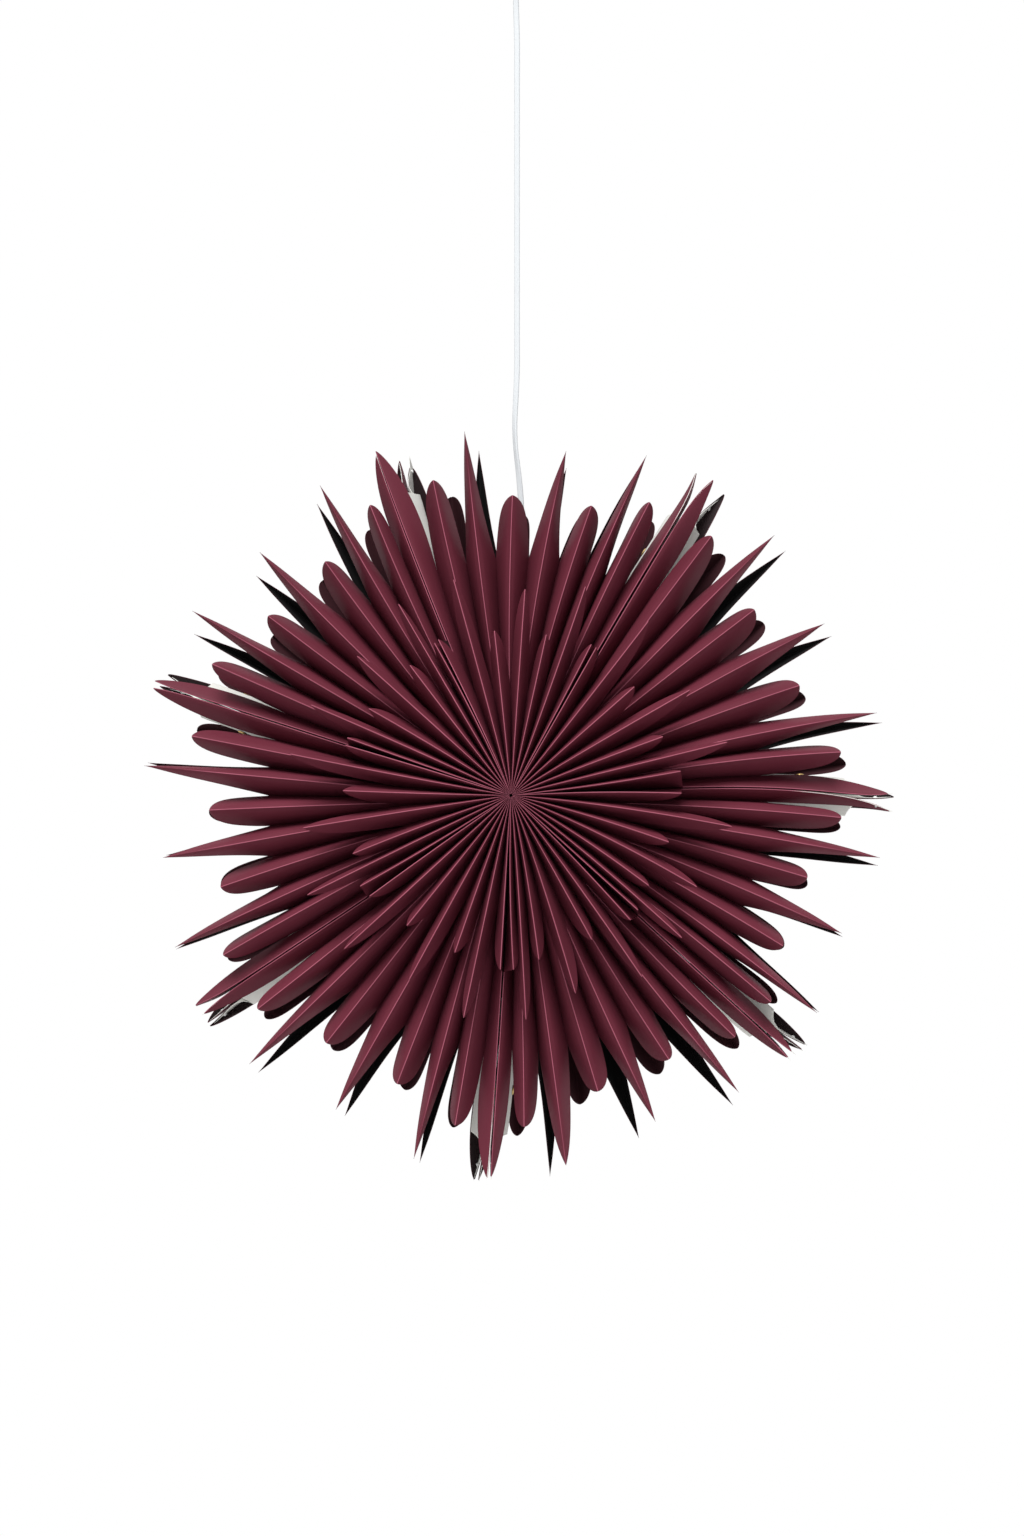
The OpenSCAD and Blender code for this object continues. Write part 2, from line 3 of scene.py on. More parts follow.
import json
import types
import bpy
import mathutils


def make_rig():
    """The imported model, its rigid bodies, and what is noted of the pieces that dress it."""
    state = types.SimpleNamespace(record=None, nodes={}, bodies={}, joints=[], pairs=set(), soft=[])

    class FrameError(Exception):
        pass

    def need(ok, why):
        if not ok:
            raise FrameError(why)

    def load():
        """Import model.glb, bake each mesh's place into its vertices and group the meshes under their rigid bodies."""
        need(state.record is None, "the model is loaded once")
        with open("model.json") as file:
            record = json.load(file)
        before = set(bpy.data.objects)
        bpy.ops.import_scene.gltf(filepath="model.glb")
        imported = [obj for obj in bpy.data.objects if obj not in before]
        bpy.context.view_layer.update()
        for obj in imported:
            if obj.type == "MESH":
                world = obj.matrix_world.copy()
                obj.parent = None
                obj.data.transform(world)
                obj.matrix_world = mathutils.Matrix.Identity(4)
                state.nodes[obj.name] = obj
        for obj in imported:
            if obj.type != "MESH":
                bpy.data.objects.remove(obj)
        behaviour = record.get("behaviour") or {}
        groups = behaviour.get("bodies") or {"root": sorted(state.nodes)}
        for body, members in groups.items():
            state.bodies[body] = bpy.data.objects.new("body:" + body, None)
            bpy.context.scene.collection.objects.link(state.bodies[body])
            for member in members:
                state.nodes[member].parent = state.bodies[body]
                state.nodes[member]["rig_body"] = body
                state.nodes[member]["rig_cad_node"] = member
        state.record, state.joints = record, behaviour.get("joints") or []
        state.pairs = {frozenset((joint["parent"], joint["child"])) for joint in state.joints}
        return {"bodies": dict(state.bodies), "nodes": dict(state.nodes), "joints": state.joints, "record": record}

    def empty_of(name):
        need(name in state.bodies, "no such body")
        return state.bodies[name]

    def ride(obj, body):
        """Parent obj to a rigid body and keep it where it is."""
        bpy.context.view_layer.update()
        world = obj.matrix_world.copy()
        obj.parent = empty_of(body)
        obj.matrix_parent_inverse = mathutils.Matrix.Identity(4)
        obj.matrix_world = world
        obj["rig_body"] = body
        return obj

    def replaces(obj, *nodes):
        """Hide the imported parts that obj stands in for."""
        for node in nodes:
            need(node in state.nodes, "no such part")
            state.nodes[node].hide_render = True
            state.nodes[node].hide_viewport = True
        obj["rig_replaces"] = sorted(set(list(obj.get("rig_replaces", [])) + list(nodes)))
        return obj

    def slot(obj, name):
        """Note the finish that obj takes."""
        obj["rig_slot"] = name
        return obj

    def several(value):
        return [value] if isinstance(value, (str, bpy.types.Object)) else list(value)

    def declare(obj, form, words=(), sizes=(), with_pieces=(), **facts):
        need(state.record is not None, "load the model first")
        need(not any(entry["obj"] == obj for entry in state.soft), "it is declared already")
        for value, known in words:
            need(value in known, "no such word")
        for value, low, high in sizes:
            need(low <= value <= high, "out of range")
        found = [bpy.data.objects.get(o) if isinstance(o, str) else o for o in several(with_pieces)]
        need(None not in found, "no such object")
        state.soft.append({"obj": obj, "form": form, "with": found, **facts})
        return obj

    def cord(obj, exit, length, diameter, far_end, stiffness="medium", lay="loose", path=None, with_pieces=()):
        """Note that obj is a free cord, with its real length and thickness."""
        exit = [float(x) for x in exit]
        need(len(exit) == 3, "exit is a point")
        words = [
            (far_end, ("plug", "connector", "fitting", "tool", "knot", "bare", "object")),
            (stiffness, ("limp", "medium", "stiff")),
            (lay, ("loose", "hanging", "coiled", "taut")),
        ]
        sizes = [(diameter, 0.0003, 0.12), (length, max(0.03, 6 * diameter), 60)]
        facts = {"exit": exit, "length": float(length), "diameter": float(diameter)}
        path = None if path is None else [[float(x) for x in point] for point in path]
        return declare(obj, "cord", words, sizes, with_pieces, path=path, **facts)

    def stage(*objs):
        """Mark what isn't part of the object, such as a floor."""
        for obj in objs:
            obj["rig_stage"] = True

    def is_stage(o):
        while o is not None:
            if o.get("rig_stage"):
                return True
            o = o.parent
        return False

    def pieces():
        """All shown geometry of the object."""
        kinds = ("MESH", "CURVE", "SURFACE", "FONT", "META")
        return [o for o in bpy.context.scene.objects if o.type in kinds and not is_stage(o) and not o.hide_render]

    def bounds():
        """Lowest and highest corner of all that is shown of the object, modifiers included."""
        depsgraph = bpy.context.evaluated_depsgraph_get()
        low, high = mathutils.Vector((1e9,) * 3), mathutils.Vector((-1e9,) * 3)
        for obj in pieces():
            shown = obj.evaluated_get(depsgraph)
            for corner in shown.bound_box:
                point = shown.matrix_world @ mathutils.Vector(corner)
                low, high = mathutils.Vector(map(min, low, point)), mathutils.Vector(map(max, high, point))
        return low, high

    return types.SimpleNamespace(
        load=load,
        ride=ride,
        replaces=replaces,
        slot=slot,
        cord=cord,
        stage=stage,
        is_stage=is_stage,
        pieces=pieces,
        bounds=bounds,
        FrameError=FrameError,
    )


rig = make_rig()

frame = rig.load()

import functools
import json
import math
import random
from collections import namedtuple

import bpy
from bpy.props import FloatProperty, FloatVectorProperty, IntProperty, PointerProperty
from mathutils import Matrix, Vector

CAD_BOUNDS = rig.bounds()

bl_info = {
    "name": "Paper Star Lamp",
    "version": (1, 0, 0),
    "blender": (4, 5, 0),
    "location": "3D View > Sidebar > Star Lamp",
    "description": "Builds the folded card, cord and finishes of a hanging paper star lamp",
    "category": "Add Mesh",
}

NODES = frame["nodes"]
BODY = "root"
MM = 0.001
# Height of the camera's sensor in mm, and a distance in metres below which two places are one
SENSOR = 36
SAME_PLACE = 0.00001

# The seven seams, in degrees from the right where they leave the hub, and how far each stands open
SEAM_ANGLE = [4.8, 60.4, 112.6, 161.4, 213.5, 266.5, 317]
SEAM_OPEN = [0.2, 0.6, 0.1, 0.2, 0.2, 0.3, 0.2]
UNITS = len(SEAM_ANGLE)

# Outline powers along and across a petal, how black its back is, how far and how soon its fold opens out
# towards the tip, how far it rolls about its fold in degrees, and how much the pale fold line of wear and painted
# highlight fades at the tip
Petal = namedtuple("Petal", "length_power width_power black opens opens_power roll fade")
SEAM = Petal(2.2, 1.3, 0.7, 0.6, 1, 4, 0.6)
SHARP = Petal(1, 0.86, 1, 0.3, 3, 9, 0.95)
BLUNT = Petal(1.6, 1.05, 1, 0.3, 3, 3, 0.6)
ROUND = Petal(2, 1.8, 0, 0.2, 3, 4, 0.1)
NARROW = Petal(1.6, 1.4, 0, 0.2, 2, 5, 0)
OUTER_PETALS = [SEAM, ROUND, SHARP, ROUND, SHARP, ROUND, SHARP, ROUND, SEAM]
INNER_PETALS = [NARROW] * 7
# Front petals that are cut unlike the others: (unit, fold)
ODD_PETALS = {(5, 2): BLUNT}
# How far the two petals at each seam open out: the last one of the unit before it and the first one after
SEAM_OPENS = [(0, 0.6), (0.8, 0), (0.7, 0.4), (0.6, 0.4), (0.5, 0.4), (0.6, 0.1), (0.3, 0.5)]
# Powers with which the folds leave their even spread for their tips, from the seam inwards, and the one
# with which two neighbours' tips part at a seam
FRONT_POWERS = (2.2, 1.4, 0.9)
BACK_POWERS = (2, 1.6, 1.6)
INNER_POWERS = (0.8, 0.6)
PART_POWER = 16
# How far a tip curls at most, in mm, and the mark of a point with no worn cut edge near it
CURL = 1
SHARP_CURL = 4
NO_EDGE = 30
# Shares of the space between two folds, and of a panel, that the round back of a fold may take up
FOLD_SHARE = 0.2
PANEL_SHARE = 0.25
# Shares of the way across a panel at which it has points
PANEL_STOPS = (0.06, 0.15, 0.27, 0.42, 0.6, 0.8, 1)
# Where the pale fold lines of wear and painted highlight reach their full width, and the shares of a petal between
# which they fade
FULL_LINE_R = 0.1
FADE = (0.3, 0.8)
# Radii between which a board starts to bow and those between which the tip straightens it, the share that
# the tip takes away, and the level across the board from which it is flat
BOW_STARTS = (0.12, 0.235)
BOW_ENDS = (0.3, 0.345)
TIP_HOLD = 0.7
FLAT_LEVEL = 0.68
# Radius from which the tabs get shallower towards the tip, and the share that is gone there
TAB_TAPER_R = 0.32
TAB_TAPER = 0.8
# Height at which the bulb's metal cap meets its glass
CAP_Z = -0.834

# Where the tips are seen, in pixels of the frame, unit by unit from the right and turning left
FRAME_SIZE = (1024, 1536)
FRONT_TIPS = [
    [(888, 794.5), (841, 752), (877, 713), (799.5, 685.5), (824.5, 623), (754.5, 609.5), (774.5, 534.5),
     (711.5, 536), (712.5, 479.5)],
    [(696.5, 473), (649.5, 502), (646.5, 455), (591.5, 505.5), (566, 450.5), (512.5, 495), (464.5, 431.5),
     (433, 480), (375, 451.5)],
    [(377, 455), (370, 505), (320, 485.5), (325, 561.5), (259.5, 552), (268, 616), (192, 610.5),
     (212, 664), (154.5, 681.5)],
    [(153.5, 687.5), (191.5, 736), (144.5, 766), (209, 810), (163, 858), (220.5, 887), (175, 947.5),
     (223, 955), (196, 1006)],
    [(203.5, 1013), (257.5, 1009), (249, 1064), (326, 1043), (335.5, 1109.5), (397, 1084), (414, 1159),
     (455, 1125.5), (488, 1178)],
    [(490.5, 1176.5), (524, 1127), (566, 1165.5), (598, 1091.5), (655.5, 1121.5), (669, 1059.5),
     (739, 1092.5), (735, 1037), (788, 1057)],
    [(791, 1052), (771, 1002), (817, 1013), (783, 946), (842, 933.5), (807.5, 877.5), (880, 857.5),
     (841.5, 817.5), (889.5, 810.5)],
]
BACK_TIPS = [
    [(894, 797.5), (846, 764), (882, 723), (805.5, 697.5), (831.5, 636), (764, 623.5), (785.5, 550.5),
     (724, 555), (724, 494.5)],
    [(705, 500), (651.5, 521.5), (636.5, 471.5), (591, 512), (566.5, 468.5), (522, 515), (479, 451),
     (451.5, 497), (412, 468)],
    [(400, 461), (369, 530), (317, 504), (322, 581), (256, 575.5), (272, 637), (194, 634), (219, 674),
     (168, 675)],
    [(160, 686), (197, 729), (148, 763), (209, 812), (166, 855), (221, 886), (176, 949), (228, 959),
     (208, 1023)],
    [(210, 1026), (265, 1018), (258, 1072.5), (333, 1050), (344.5, 1116), (405, 1090), (420, 1163),
     (453, 1127.5), (474.5, 1179.5)],
    [(478, 1180), (517, 1136), (550, 1176.5), (580.5, 1104.5), (639, 1138.5), (660, 1074),
     (733, 1105.5), (738, 1048), (802, 1049)],
    [(805, 1044.5), (777, 1002.5), (819, 1012), (784, 947), (842.5, 937), (807.5, 885), (878, 865.5),
     (840.5, 827), (889.5, 811)],
]
INNER_TIPS = [
    [(681, 772), (727.5, 742), (663, 737), (690, 690), (634.5, 687), (648.5, 621), (596, 647.5)],
    [(592, 645), (585.5, 586.5), (546.5, 635), (525, 589), (494.5, 631), (453.5, 579.5), (438, 640)],
    [(435, 643), (398.5, 604), (410, 665.5), (357, 656), (369, 709), (311, 705), (347, 738.5)],
    [(345.5, 745), (290, 754), (343, 791), (303, 828), (353, 854), (307, 895), (360.5, 887)],
    [(369.5, 896), (344, 949), (407, 926), (409, 980), (455, 953), (463.5, 1018), (501, 970)],
    [(513, 970), (526, 1020), (539, 960), (575.5, 993.5), (592, 940), (642, 977), (631, 920)],
    [(638, 911), (682, 938), (649, 886), (697, 887), (669, 842.5), (732, 826.5), (681.5, 793)],
]

# Route of the cord from the holder's cap to the terminal block: x and z in mm and the twist in degrees
CORD_ROUTE = [
    (0, -774, 0), (0, -752, 0), (1, -728, 0), (3, -700, 5), (4, -670, 10), (5, -640, 15), (5, -610, 15),
    (5, -585, 10), (4, -565, -10), (2, -545, -35), (0, -528, -45), (-1, -512, -45), (-1, -496, -35),
    (0, -475, -25), (1, -450, -20), (1, -420, -20), (1, -380, -20), (1, -340, -20), (1, -300, -20),
    (1, -260, -15), (1, -220, -15), (1, -180, -10), (1, -140, -5), (0, -100, 0), (0, -60, 0), (0, -16, 0),
]

# Plans of the fans and seams by kind, side and unit, which each operator that needs them draws anew
PLANS = {}


def length(name, size, description):
    """A length property whose default is given in millimetres."""
    return FloatProperty(name=name, default=size * MM, description=description, precision=5,
                         unit="LENGTH", subtype="DISTANCE")


def turn(name, angle, description):
    """An angle property whose default is given in degrees."""
    return FloatProperty(name=name, default=math.radians(angle), description=description,
                         unit="ROTATION", subtype="ANGLE")


def colour(name, red, green, blue, description):
    """A colour property whose default is given as the eye sees it, from 0 to 255."""
    return FloatVectorProperty(name=name, default=[linear(part / 255) for part in (red, green, blue)],
                               description=description, subtype="COLOR", size=3, min=0, max=1)


def linear(part):
    """One colour part as light, from its value on a screen."""
    return part / 12.92 if part <= 0.04045 else ((part + 0.055) / 1.055) ** 2.4


class StarSizes(bpy.types.PropertyGroup):
    """Sizes that the whole star shares."""
    drop: length("Drop", 860, "Distance from the ceiling down to the star's centre")
    card: length("Card", 0.25, "Thickness of the folded card")
    fold: length("Fold radius", 0.5, "Radius of the round back of a fold")
    thin_line: FloatProperty(name="Thin line", default=2, description="How much thinner lines get at the hub")
    seam_tip: length("Seam tip", 350, "Radius of the tips beside the boards")
    pleat_rows: IntProperty(name="Pleat rows", default=12, description="Rows from the hub to the cut")
    petal_rows: IntProperty(name="Petal rows", default=18, description="Rows from the cut to the tip")


class OuterFanSizes(bpy.types.PropertyGroup):
    """Sizes of the eight pleats of an outer fan. Depths count from the star's mid plane."""
    hub: length("Hub", 7, "Radius at which the pleats start")
    first_r: length("Fold start", 11, "Radius from which the folds over the boards fall")
    notch: length("Cut", 228, "Radius of the cut between two petals")
    crown: FloatProperty(name="Crown", default=0.07, description="Bow of a panel, as a share")
    ridge: length("Ridge depth", 62, "Distance of the ridges from the mid plane")
    valley_hub: length("Valley at the hub", 45, "Depth of the valleys at the hub")
    valley_rim: length("Valley at the cut", 28, "Depth of the valleys at the cut")
    seam_depth: length("Seam tip depth", 40, "Depth of the seam tips")
    tab: length("Tab", 18, "Depth of the tab that is glued to the board")
    tab_tip: length("Tab at the tip", 14, "Depth of that tab at the tip")
    tab_side: length("Tab place", 0.33, "Distance of the tab from the seam's plane")
    back_side: length("Back tab place", 0.05, "Distance of a back fan's tab")
    edge_side: length("Edge place", 1.16, "Distance of the first panel from the seam's plane")


class InnerFanSizes(bpy.types.PropertyGroup):
    """Sizes of the six pleats of an inner fan. Depths count from the star's mid plane."""
    hub: length("Hub", 1.5, "Radius at which the pleats start")
    notch: length("Cut", 100, "Radius of the cut between two petals")
    long_tip: length("Long tip", 208, "Radius of the long tips")
    crown: FloatProperty(name="Crown", default=0.02, description="Bow of a panel, as a share")
    ridge: length("Ridge depth", 105, "Depth of the ridges at the hub")
    fall: length("Ridge fall", 15, "Drop of the ridges at the long tips")
    valley_hub: length("Valley at the hub", 75, "Depth of the valleys at the hub")
    valley_rim: length("Valley at the cut", 66, "Depth of the valleys at the cut")
    wing: length("Wing", 12, "How far a wing reaches behind the board's front edge")
    wing_side: length("Wing place", 0.04, "Distance of the wing from the seam's plane")
    edge_side: length("Edge place", 0.33, "Distance of the first panel from the seam's plane")


class BoardSizes(bpy.types.PropertyGroup):
    """Sizes of the white end boards and of what holds them together."""
    thickness: length("Thickness", 0.5, "Thickness of the board")
    hub: length("Hub", 14, "Radius at which a board starts")
    rim: length("Rim", 14, "Width of the rims along its front and back edge")
    strip_start: length("Strip start", 78, "Radius of the inner edge of the strip between the rims")
    strip_end: length("Strip end", 112, "Radius of the outer edge of that strip")
    closed_from: length("Closed part", 178, "Radius at which the board's closed part starts")
    tip: length("Tip", 349, "Radius of the board's outer end")
    hollow: length("Hollow", 18, "Depth of the round hollow in the outer end")
    ear: length("Ear", 16, "Width of the ear at each side of the hollow")
    ear_slope: length("Ear slope", 26, "How far an ear's outer end slopes back from the edge")
    edge_gap: length("Edge gap", 0.29, "Distance from the fold over the edge to the board")
    side: length("Place", 0.62, "Distance of the board from the seam's plane")
    flare: length("Flare", 16, "How far the middle of a board stands away from the seam")
    pin: length("Pin radius", 264, "Radius at which the brass pins sit")
    pin_head: length("Pin head", 9, "Diameter of a pin's head")
    pin_leg: length("Pin leg", 10.5, "Length of a pin's folded leg")
    pin_width: length("Pin width", 2.4, "Width of a pin's legs")
    stud: length("Stud radius", 334, "Radius at which the white studs sit")
    stud_head: length("Stud head", 4.2, "Diameter of a stud's head")
    stud_inset: length("Stud inset", 1, "Distance from the board's edge to a stud's head")
    stud_shank: length("Stud shank", 1.2, "Diameter of a stud's shank")


class CordSizes(bpy.types.PropertyGroup):
    """Sizes of the flat cord."""
    width: length("Width", 5.4, "Width of the flat cord")
    thickness: length("Thickness", 2.7, "Thickness of the flat cord")
    groove: length("Groove", 0.35, "Depth of the groove between the two cores")


class CardFinish(bpy.types.PropertyGroup):
    """Colours of the card and the boards."""
    face: colour("Face", 106, 44, 58, "Front of the burgundy card")
    # Pale line along a fold: part worn print, part painted highlight of the fold's round back catching the light
    crease_wear_and_highlight: colour("Crease", 186, 104, 124, "Worn line along a fold")
    dark_back: colour("Dark back", 12, 11, 12, "Back of the sharp petals")
    warm_back: colour("Warm back", 52, 22, 28, "Back of the round petals")
    cut_edge: colour("Cut edge", 74, 34, 42, "Cut edge of the card")
    board: colour("Board", 236, 235, 230, "White end boards")


class StageLook(bpy.types.PropertyGroup):
    """Camera, light and floor."""
    azimuth: turn("Azimuth", 2.5, "Angle of the camera to the right of the star's axis")
    elevation: turn("Elevation", -5.4, "Angle of the camera above the star's centre")
    target: FloatVectorProperty(name="Target", default=(-0.0037, 0, 0.035), size=3, unit="LENGTH",
                                subtype="XYZ", description="What the camera looks at, from the centre")
    distance: length("Distance", 6000, "Distance of the camera from its target")
    lens: FloatProperty(name="Lens", default=151.2, description="Focal length in millimetres")
    floor_drop: length("Floor", 2300, "Distance of the floor below the ceiling")
    key: FloatProperty(name="Key light", default=3.6, description="Strength of the light from above")
    fill: FloatProperty(name="Fill light", default=0.2, description="Strength of the light from the front")
    sky: FloatProperty(name="Sky", default=0.2, description="Strength of the light from all round")


class Value:
    """A number that varies over a surface. Each operator adds a Math node."""

    def __init__(self, nodes, socket):
        self.nodes = nodes
        self.socket = socket

    def math(self, operation, other):
        node = self.nodes.node("Math", {"operation": operation}, {0: self, 1: other})
        return Value(self.nodes, node.outputs[0])

    def __add__(self, other):
        return self.math("ADD", other)

    def __mul__(self, other):
        return self.math("MULTIPLY", other)

    __radd__ = __add__
    __rmul__ = __mul__


class Nodes:
    """The nodes of a material or a world."""

    def __init__(self, owner):
        owner.use_nodes = True
        self.tree = owner.node_tree

    def node(self, kind, settings=None, inputs=None):
        """Adds a node, sets its settings and then fills its sockets with numbers or links."""
        added = self.tree.nodes.new("ShaderNode" + kind)
        for key, setting in (settings or {}).items():
            setattr(added, key, setting)
        for key, value in (inputs or {}).items():
            self.fill(added.inputs[key], value)
        return added

    def fill(self, socket, value):
        if isinstance(value, Value):
            value = value.socket
        if isinstance(value, bpy.types.NodeSocket):
            self.tree.links.new(value, socket)
        elif socket.type == "RGBA":
            socket.default_value = (*value, 1)
        else:
            socket.default_value = value


class Finish(Nodes):
    """One procedural material."""

    def __init__(self, name):
        self.material = bpy.data.materials.new(name)
        super().__init__(self.material)
        self.shader = self.tree.nodes["Principled BSDF"]
        self.position = self.node("TexCoord").outputs["Object"]

    def noise(self, scale, detail=3, stretch=(1, 1, 1), rough=0.5):
        """Noise from 0 to 1 with so many grains a metre."""
        place = self.node("Mapping", {}, {"Vector": self.position, "Scale": stretch})
        grain = self.node("TexNoise", {}, {"Vector": place.outputs[0], "Scale": scale, "Detail": detail,
                                           "Roughness": rough})
        return Value(self, grain.outputs["Fac"])

    def attribute(self, name):
        """A mark that the mesh carries at its points."""
        return Value(self, self.node("Attribute", {"attribute_name": name}).outputs["Fac"])

    def band(self, value, low, high):
        """0 below low and 1 above high, with a smooth step between; the other way round if low > high."""
        step = self.node("MapRange", {"interpolation_type": "SMOOTHSTEP"}, {
            "Value": value, "From Min": min(low, high), "From Max": max(low, high),
            "To Min": 0 if low < high else 1, "To Max": 1 if low < high else 0})
        return Value(self, step.outputs["Result"])

    def mix(self, share, first, second):
        """Mixes two colours; share is 0 at the first."""
        return self.node("Mix", {"data_type": "RGBA"}, {0: share, 6: first, 7: second}).outputs[2]

    def bump(self, height, distance, strength):
        bumped = self.node("Bump", {}, {"Height": height, "Distance": distance, "Strength": strength})
        self.fill(self.shader.inputs["Normal"], bumped.outputs[0])

    def surface(self, **sockets):
        for name, value in sockets.items():
            self.fill(self.shader.inputs[name.replace("_", " ")], value)
        return self.material


def shaded(tint, share):
    """A lighter or darker colour."""
    return tuple(min(1, part * share) for part in tint)


def card_face(look):
    """Front of the card: satin burgundy, with a pale line along the folds that is part wear and part painted
    highlight.
    """
    finish = Finish("burgundy_card_face")
    cloud = finish.noise(9, 2)
    fibre = finish.noise(1400, 4, rough=0.65)
    fold = finish.attribute("fold_mm")
    tone = finish.attribute("petal_tone")
    body = finish.mix(cloud * 0.5 + tone * 0.3 + fibre * 0.2, shaded(look.face, 0.8),
                      shaded(look.face, 1.12))
    # Pale line along the folds, part worn print and part painted highlight of the rounded fold
    worn = finish.band(fold + fibre * 0.3, 0.9, 0.4) * finish.attribute("wear_and_highlight_line")
    tint = finish.mix(worn * (cloud * 0.3 + 0.62), body, look.crease_wear_and_highlight)
    finish.bump(fibre, 0.00006, 0.5)
    return finish.surface(Base_Color=tint, Roughness=fibre * 0.12 + 0.52, Specular_IOR_Level=0.15)


def card_back(look):
    """Back of the card: near black on the sharp petals, dark burgundy on the round ones."""
    finish = Finish("burgundy_card_back")
    fibre = finish.noise(1400, 4, rough=0.65)
    cloud = finish.noise(12, 2)
    dark = finish.attribute("black_back")
    edge = finish.attribute("edge_mm")
    body = finish.mix(dark, look.warm_back, look.dark_back)
    worn = finish.band(edge + fibre * 0.4, 1.1, 0.5)
    tint = finish.mix(worn * (cloud * 0.4 + 0.35), body, look.face)
    finish.bump(fibre, 0.00006, 0.5)
    return finish.surface(Base_Color=tint, Roughness=fibre * 0.1 + 0.62, Specular_IOR_Level=0.25)


def card_edge(look):
    """Cut edge of the card."""
    finish = Finish("burgundy_card_edge")
    fibre = finish.noise(2600, 4, rough=0.7)
    tint = finish.mix(fibre, look.cut_edge, look.face)
    return finish.surface(Base_Color=tint, Roughness=fibre * 0.1 + 0.7, Specular_IOR_Level=0.2)


def white_board(look):
    """Uncoated white board with a fine grain."""
    finish = Finish("white_board")
    fibre = finish.noise(1100, 5, rough=0.7)
    cloud = finish.noise(14, 3)
    tint = finish.mix(cloud * 0.6 + fibre * 0.4, shaded(look.board, 0.93), look.board)
    finish.bump(fibre, 0.00008, 0.6)
    return finish.surface(Base_Color=tint, Roughness=fibre * 0.1 + 0.75, Specular_IOR_Level=0.2)


def metal(name, tint, rough, brushed):
    """Bare metal with fine scratches drawn out along one axis."""
    finish = Finish(name)
    scratch = finish.noise(500, 3, stretch=brushed)
    worn = finish.noise(40, 3)
    base = finish.mix(worn * 0.6 + scratch * 0.4, shaded(tint, 0.82), tint)
    finish.bump(scratch, 0.00003, 0.4)
    return finish.surface(Base_Color=base, Metallic=1, Roughness=scratch * 0.15 + rough)


def plastic(name, tint, rough, grain):
    """Moulded plastic with a faint grain."""
    finish = Finish(name)
    fine = finish.noise(grain, 3)
    cloud = finish.noise(25, 2)
    base = finish.mix(cloud, shaded(tint, 0.95), tint)
    finish.bump(fine, 0.00003, 0.35)
    return finish.surface(Base_Color=base, Roughness=fine * 0.12 + rough, Specular_IOR_Level=0.45)


def opal_glass():
    """White glass of the hanging bulb, with its metal cap above."""
    finish = Finish("opal_bulb_glass")
    haze = finish.noise(60, 2)
    base = finish.mix(haze, (0.83, 0.83, 0.81), (0.88, 0.88, 0.86))
    height = Value(finish, finish.node("SeparateXYZ", {}, {0: finish.position}).outputs["Z"])
    cap = finish.band(height, CAP_Z, CAP_Z + 0.5 * MM)
    base = finish.mix(cap, base, (0.62, 0.60, 0.56))
    return finish.surface(Base_Color=base, Metallic=cap * 0.9, Roughness=haze * 0.06 + 0.22,
                          Coat_Weight=0.4, Coat_Roughness=0.08)


def settle(piece, slot, node):
    """Ties a new piece to the frame's body, its material slot and the node it stands for."""
    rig.ride(piece, BODY)
    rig.replaces(piece, node)
    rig.slot(piece, slot)


def dress(names, material):
    """Gives CAD nodes a material and leaves their shape alone."""
    for name in names:
        slots = NODES[name].data.materials
        slots.clear()
        slots.append(material)


def new_piece(name, points, faces, materials):
    mesh = bpy.data.meshes.new(name)
    mesh.from_pydata(points, [], faces)
    mesh.validate()
    piece = bpy.data.objects.new(name, mesh)
    bpy.context.scene.collection.objects.link(piece)
    for material in materials:
        mesh.materials.append(material)
    return piece


def strips(rows, flipped=False, left_out=lambda row, column: False):
    """Faces between rows of point numbers, less those that are left out."""
    faces = []
    for row, (low, high) in enumerate(zip(rows, rows[1:])):
        for column, face in enumerate(zip(low, low[1:], high[1:], high)):
            if not left_out(row, column):
                faces.append(face[::-1] if flipped else face)
    return faces


def deselect():
    bpy.ops.object.select_all(action="DESELECT")


def use_alone(piece, *others):
    """Selects a piece, and what is joined to it, and nothing else."""
    deselect()
    for chosen in (piece, *others):
        chosen.select_set(True)
    bpy.context.view_layer.objects.active = piece


def in_edit_mode(operator, **settings):
    """Runs an operator of edit mode on the whole active piece."""
    bpy.ops.object.mode_set(mode="EDIT")
    bpy.ops.mesh.select_all(action="SELECT")
    operator(**settings)
    bpy.ops.object.mode_set(mode="OBJECT")


def shade_smooth(angle):
    bpy.ops.object.shade_smooth_by_angle(angle=math.radians(angle))


def harden(piece, thickness, offset, materials, angle):
    """Gives a skin its thickness, with other materials for its back and its cut edge."""
    use_alone(piece)
    wall = piece.modifiers.new("sheet", "SOLIDIFY")
    wall.thickness = thickness
    wall.offset = offset
    wall.material_offset, wall.material_offset_rim = materials
    bpy.ops.object.modifier_apply(modifier=wall.name)
    shade_smooth(angle)


def sight(scene):
    """Place of the camera and its forward, right and up directions."""
    stage = scene.starlamp_stage
    a, e = stage.azimuth, stage.elevation
    back = Vector((math.sin(a) * math.cos(e), -math.cos(a) * math.cos(e), math.sin(e)))
    target = Vector(stage.target) - Vector((0, 0, scene.starlamp_star.drop))
    right = (-back).cross(Vector((0, 0, 1))).normalized()
    return target + back * stage.distance, -back, right, right.cross(-back)


def seen_at(scene, pixel, depth):
    """Radius and angle in the star at which a pixel is seen, that far in front of the mid plane."""
    eye, forward, right, up = sight(scene)
    wide, high = FRAME_SIZE
    focal = scene.starlamp_stage.lens / SENSOR * high
    ray = forward + right * ((pixel[0] - wide / 2) / focal) + up * ((high / 2 - pixel[1]) / focal)
    point = eye + ray * ((-depth - eye.y) / ray.y)
    height = point.z + scene.starlamp_star.drop
    return math.hypot(point.x, height), math.degrees(math.atan2(height, point.x))


def place(scene, r, angle, side, depth):
    """A point at radius r, moved sideways in the star's plane, in front of the mid plane."""
    c, s = math.cos(math.radians(angle)), math.sin(math.radians(angle))
    return Vector((r * c - side * s, -depth, r * s + side * c - scene.starlamp_star.drop))


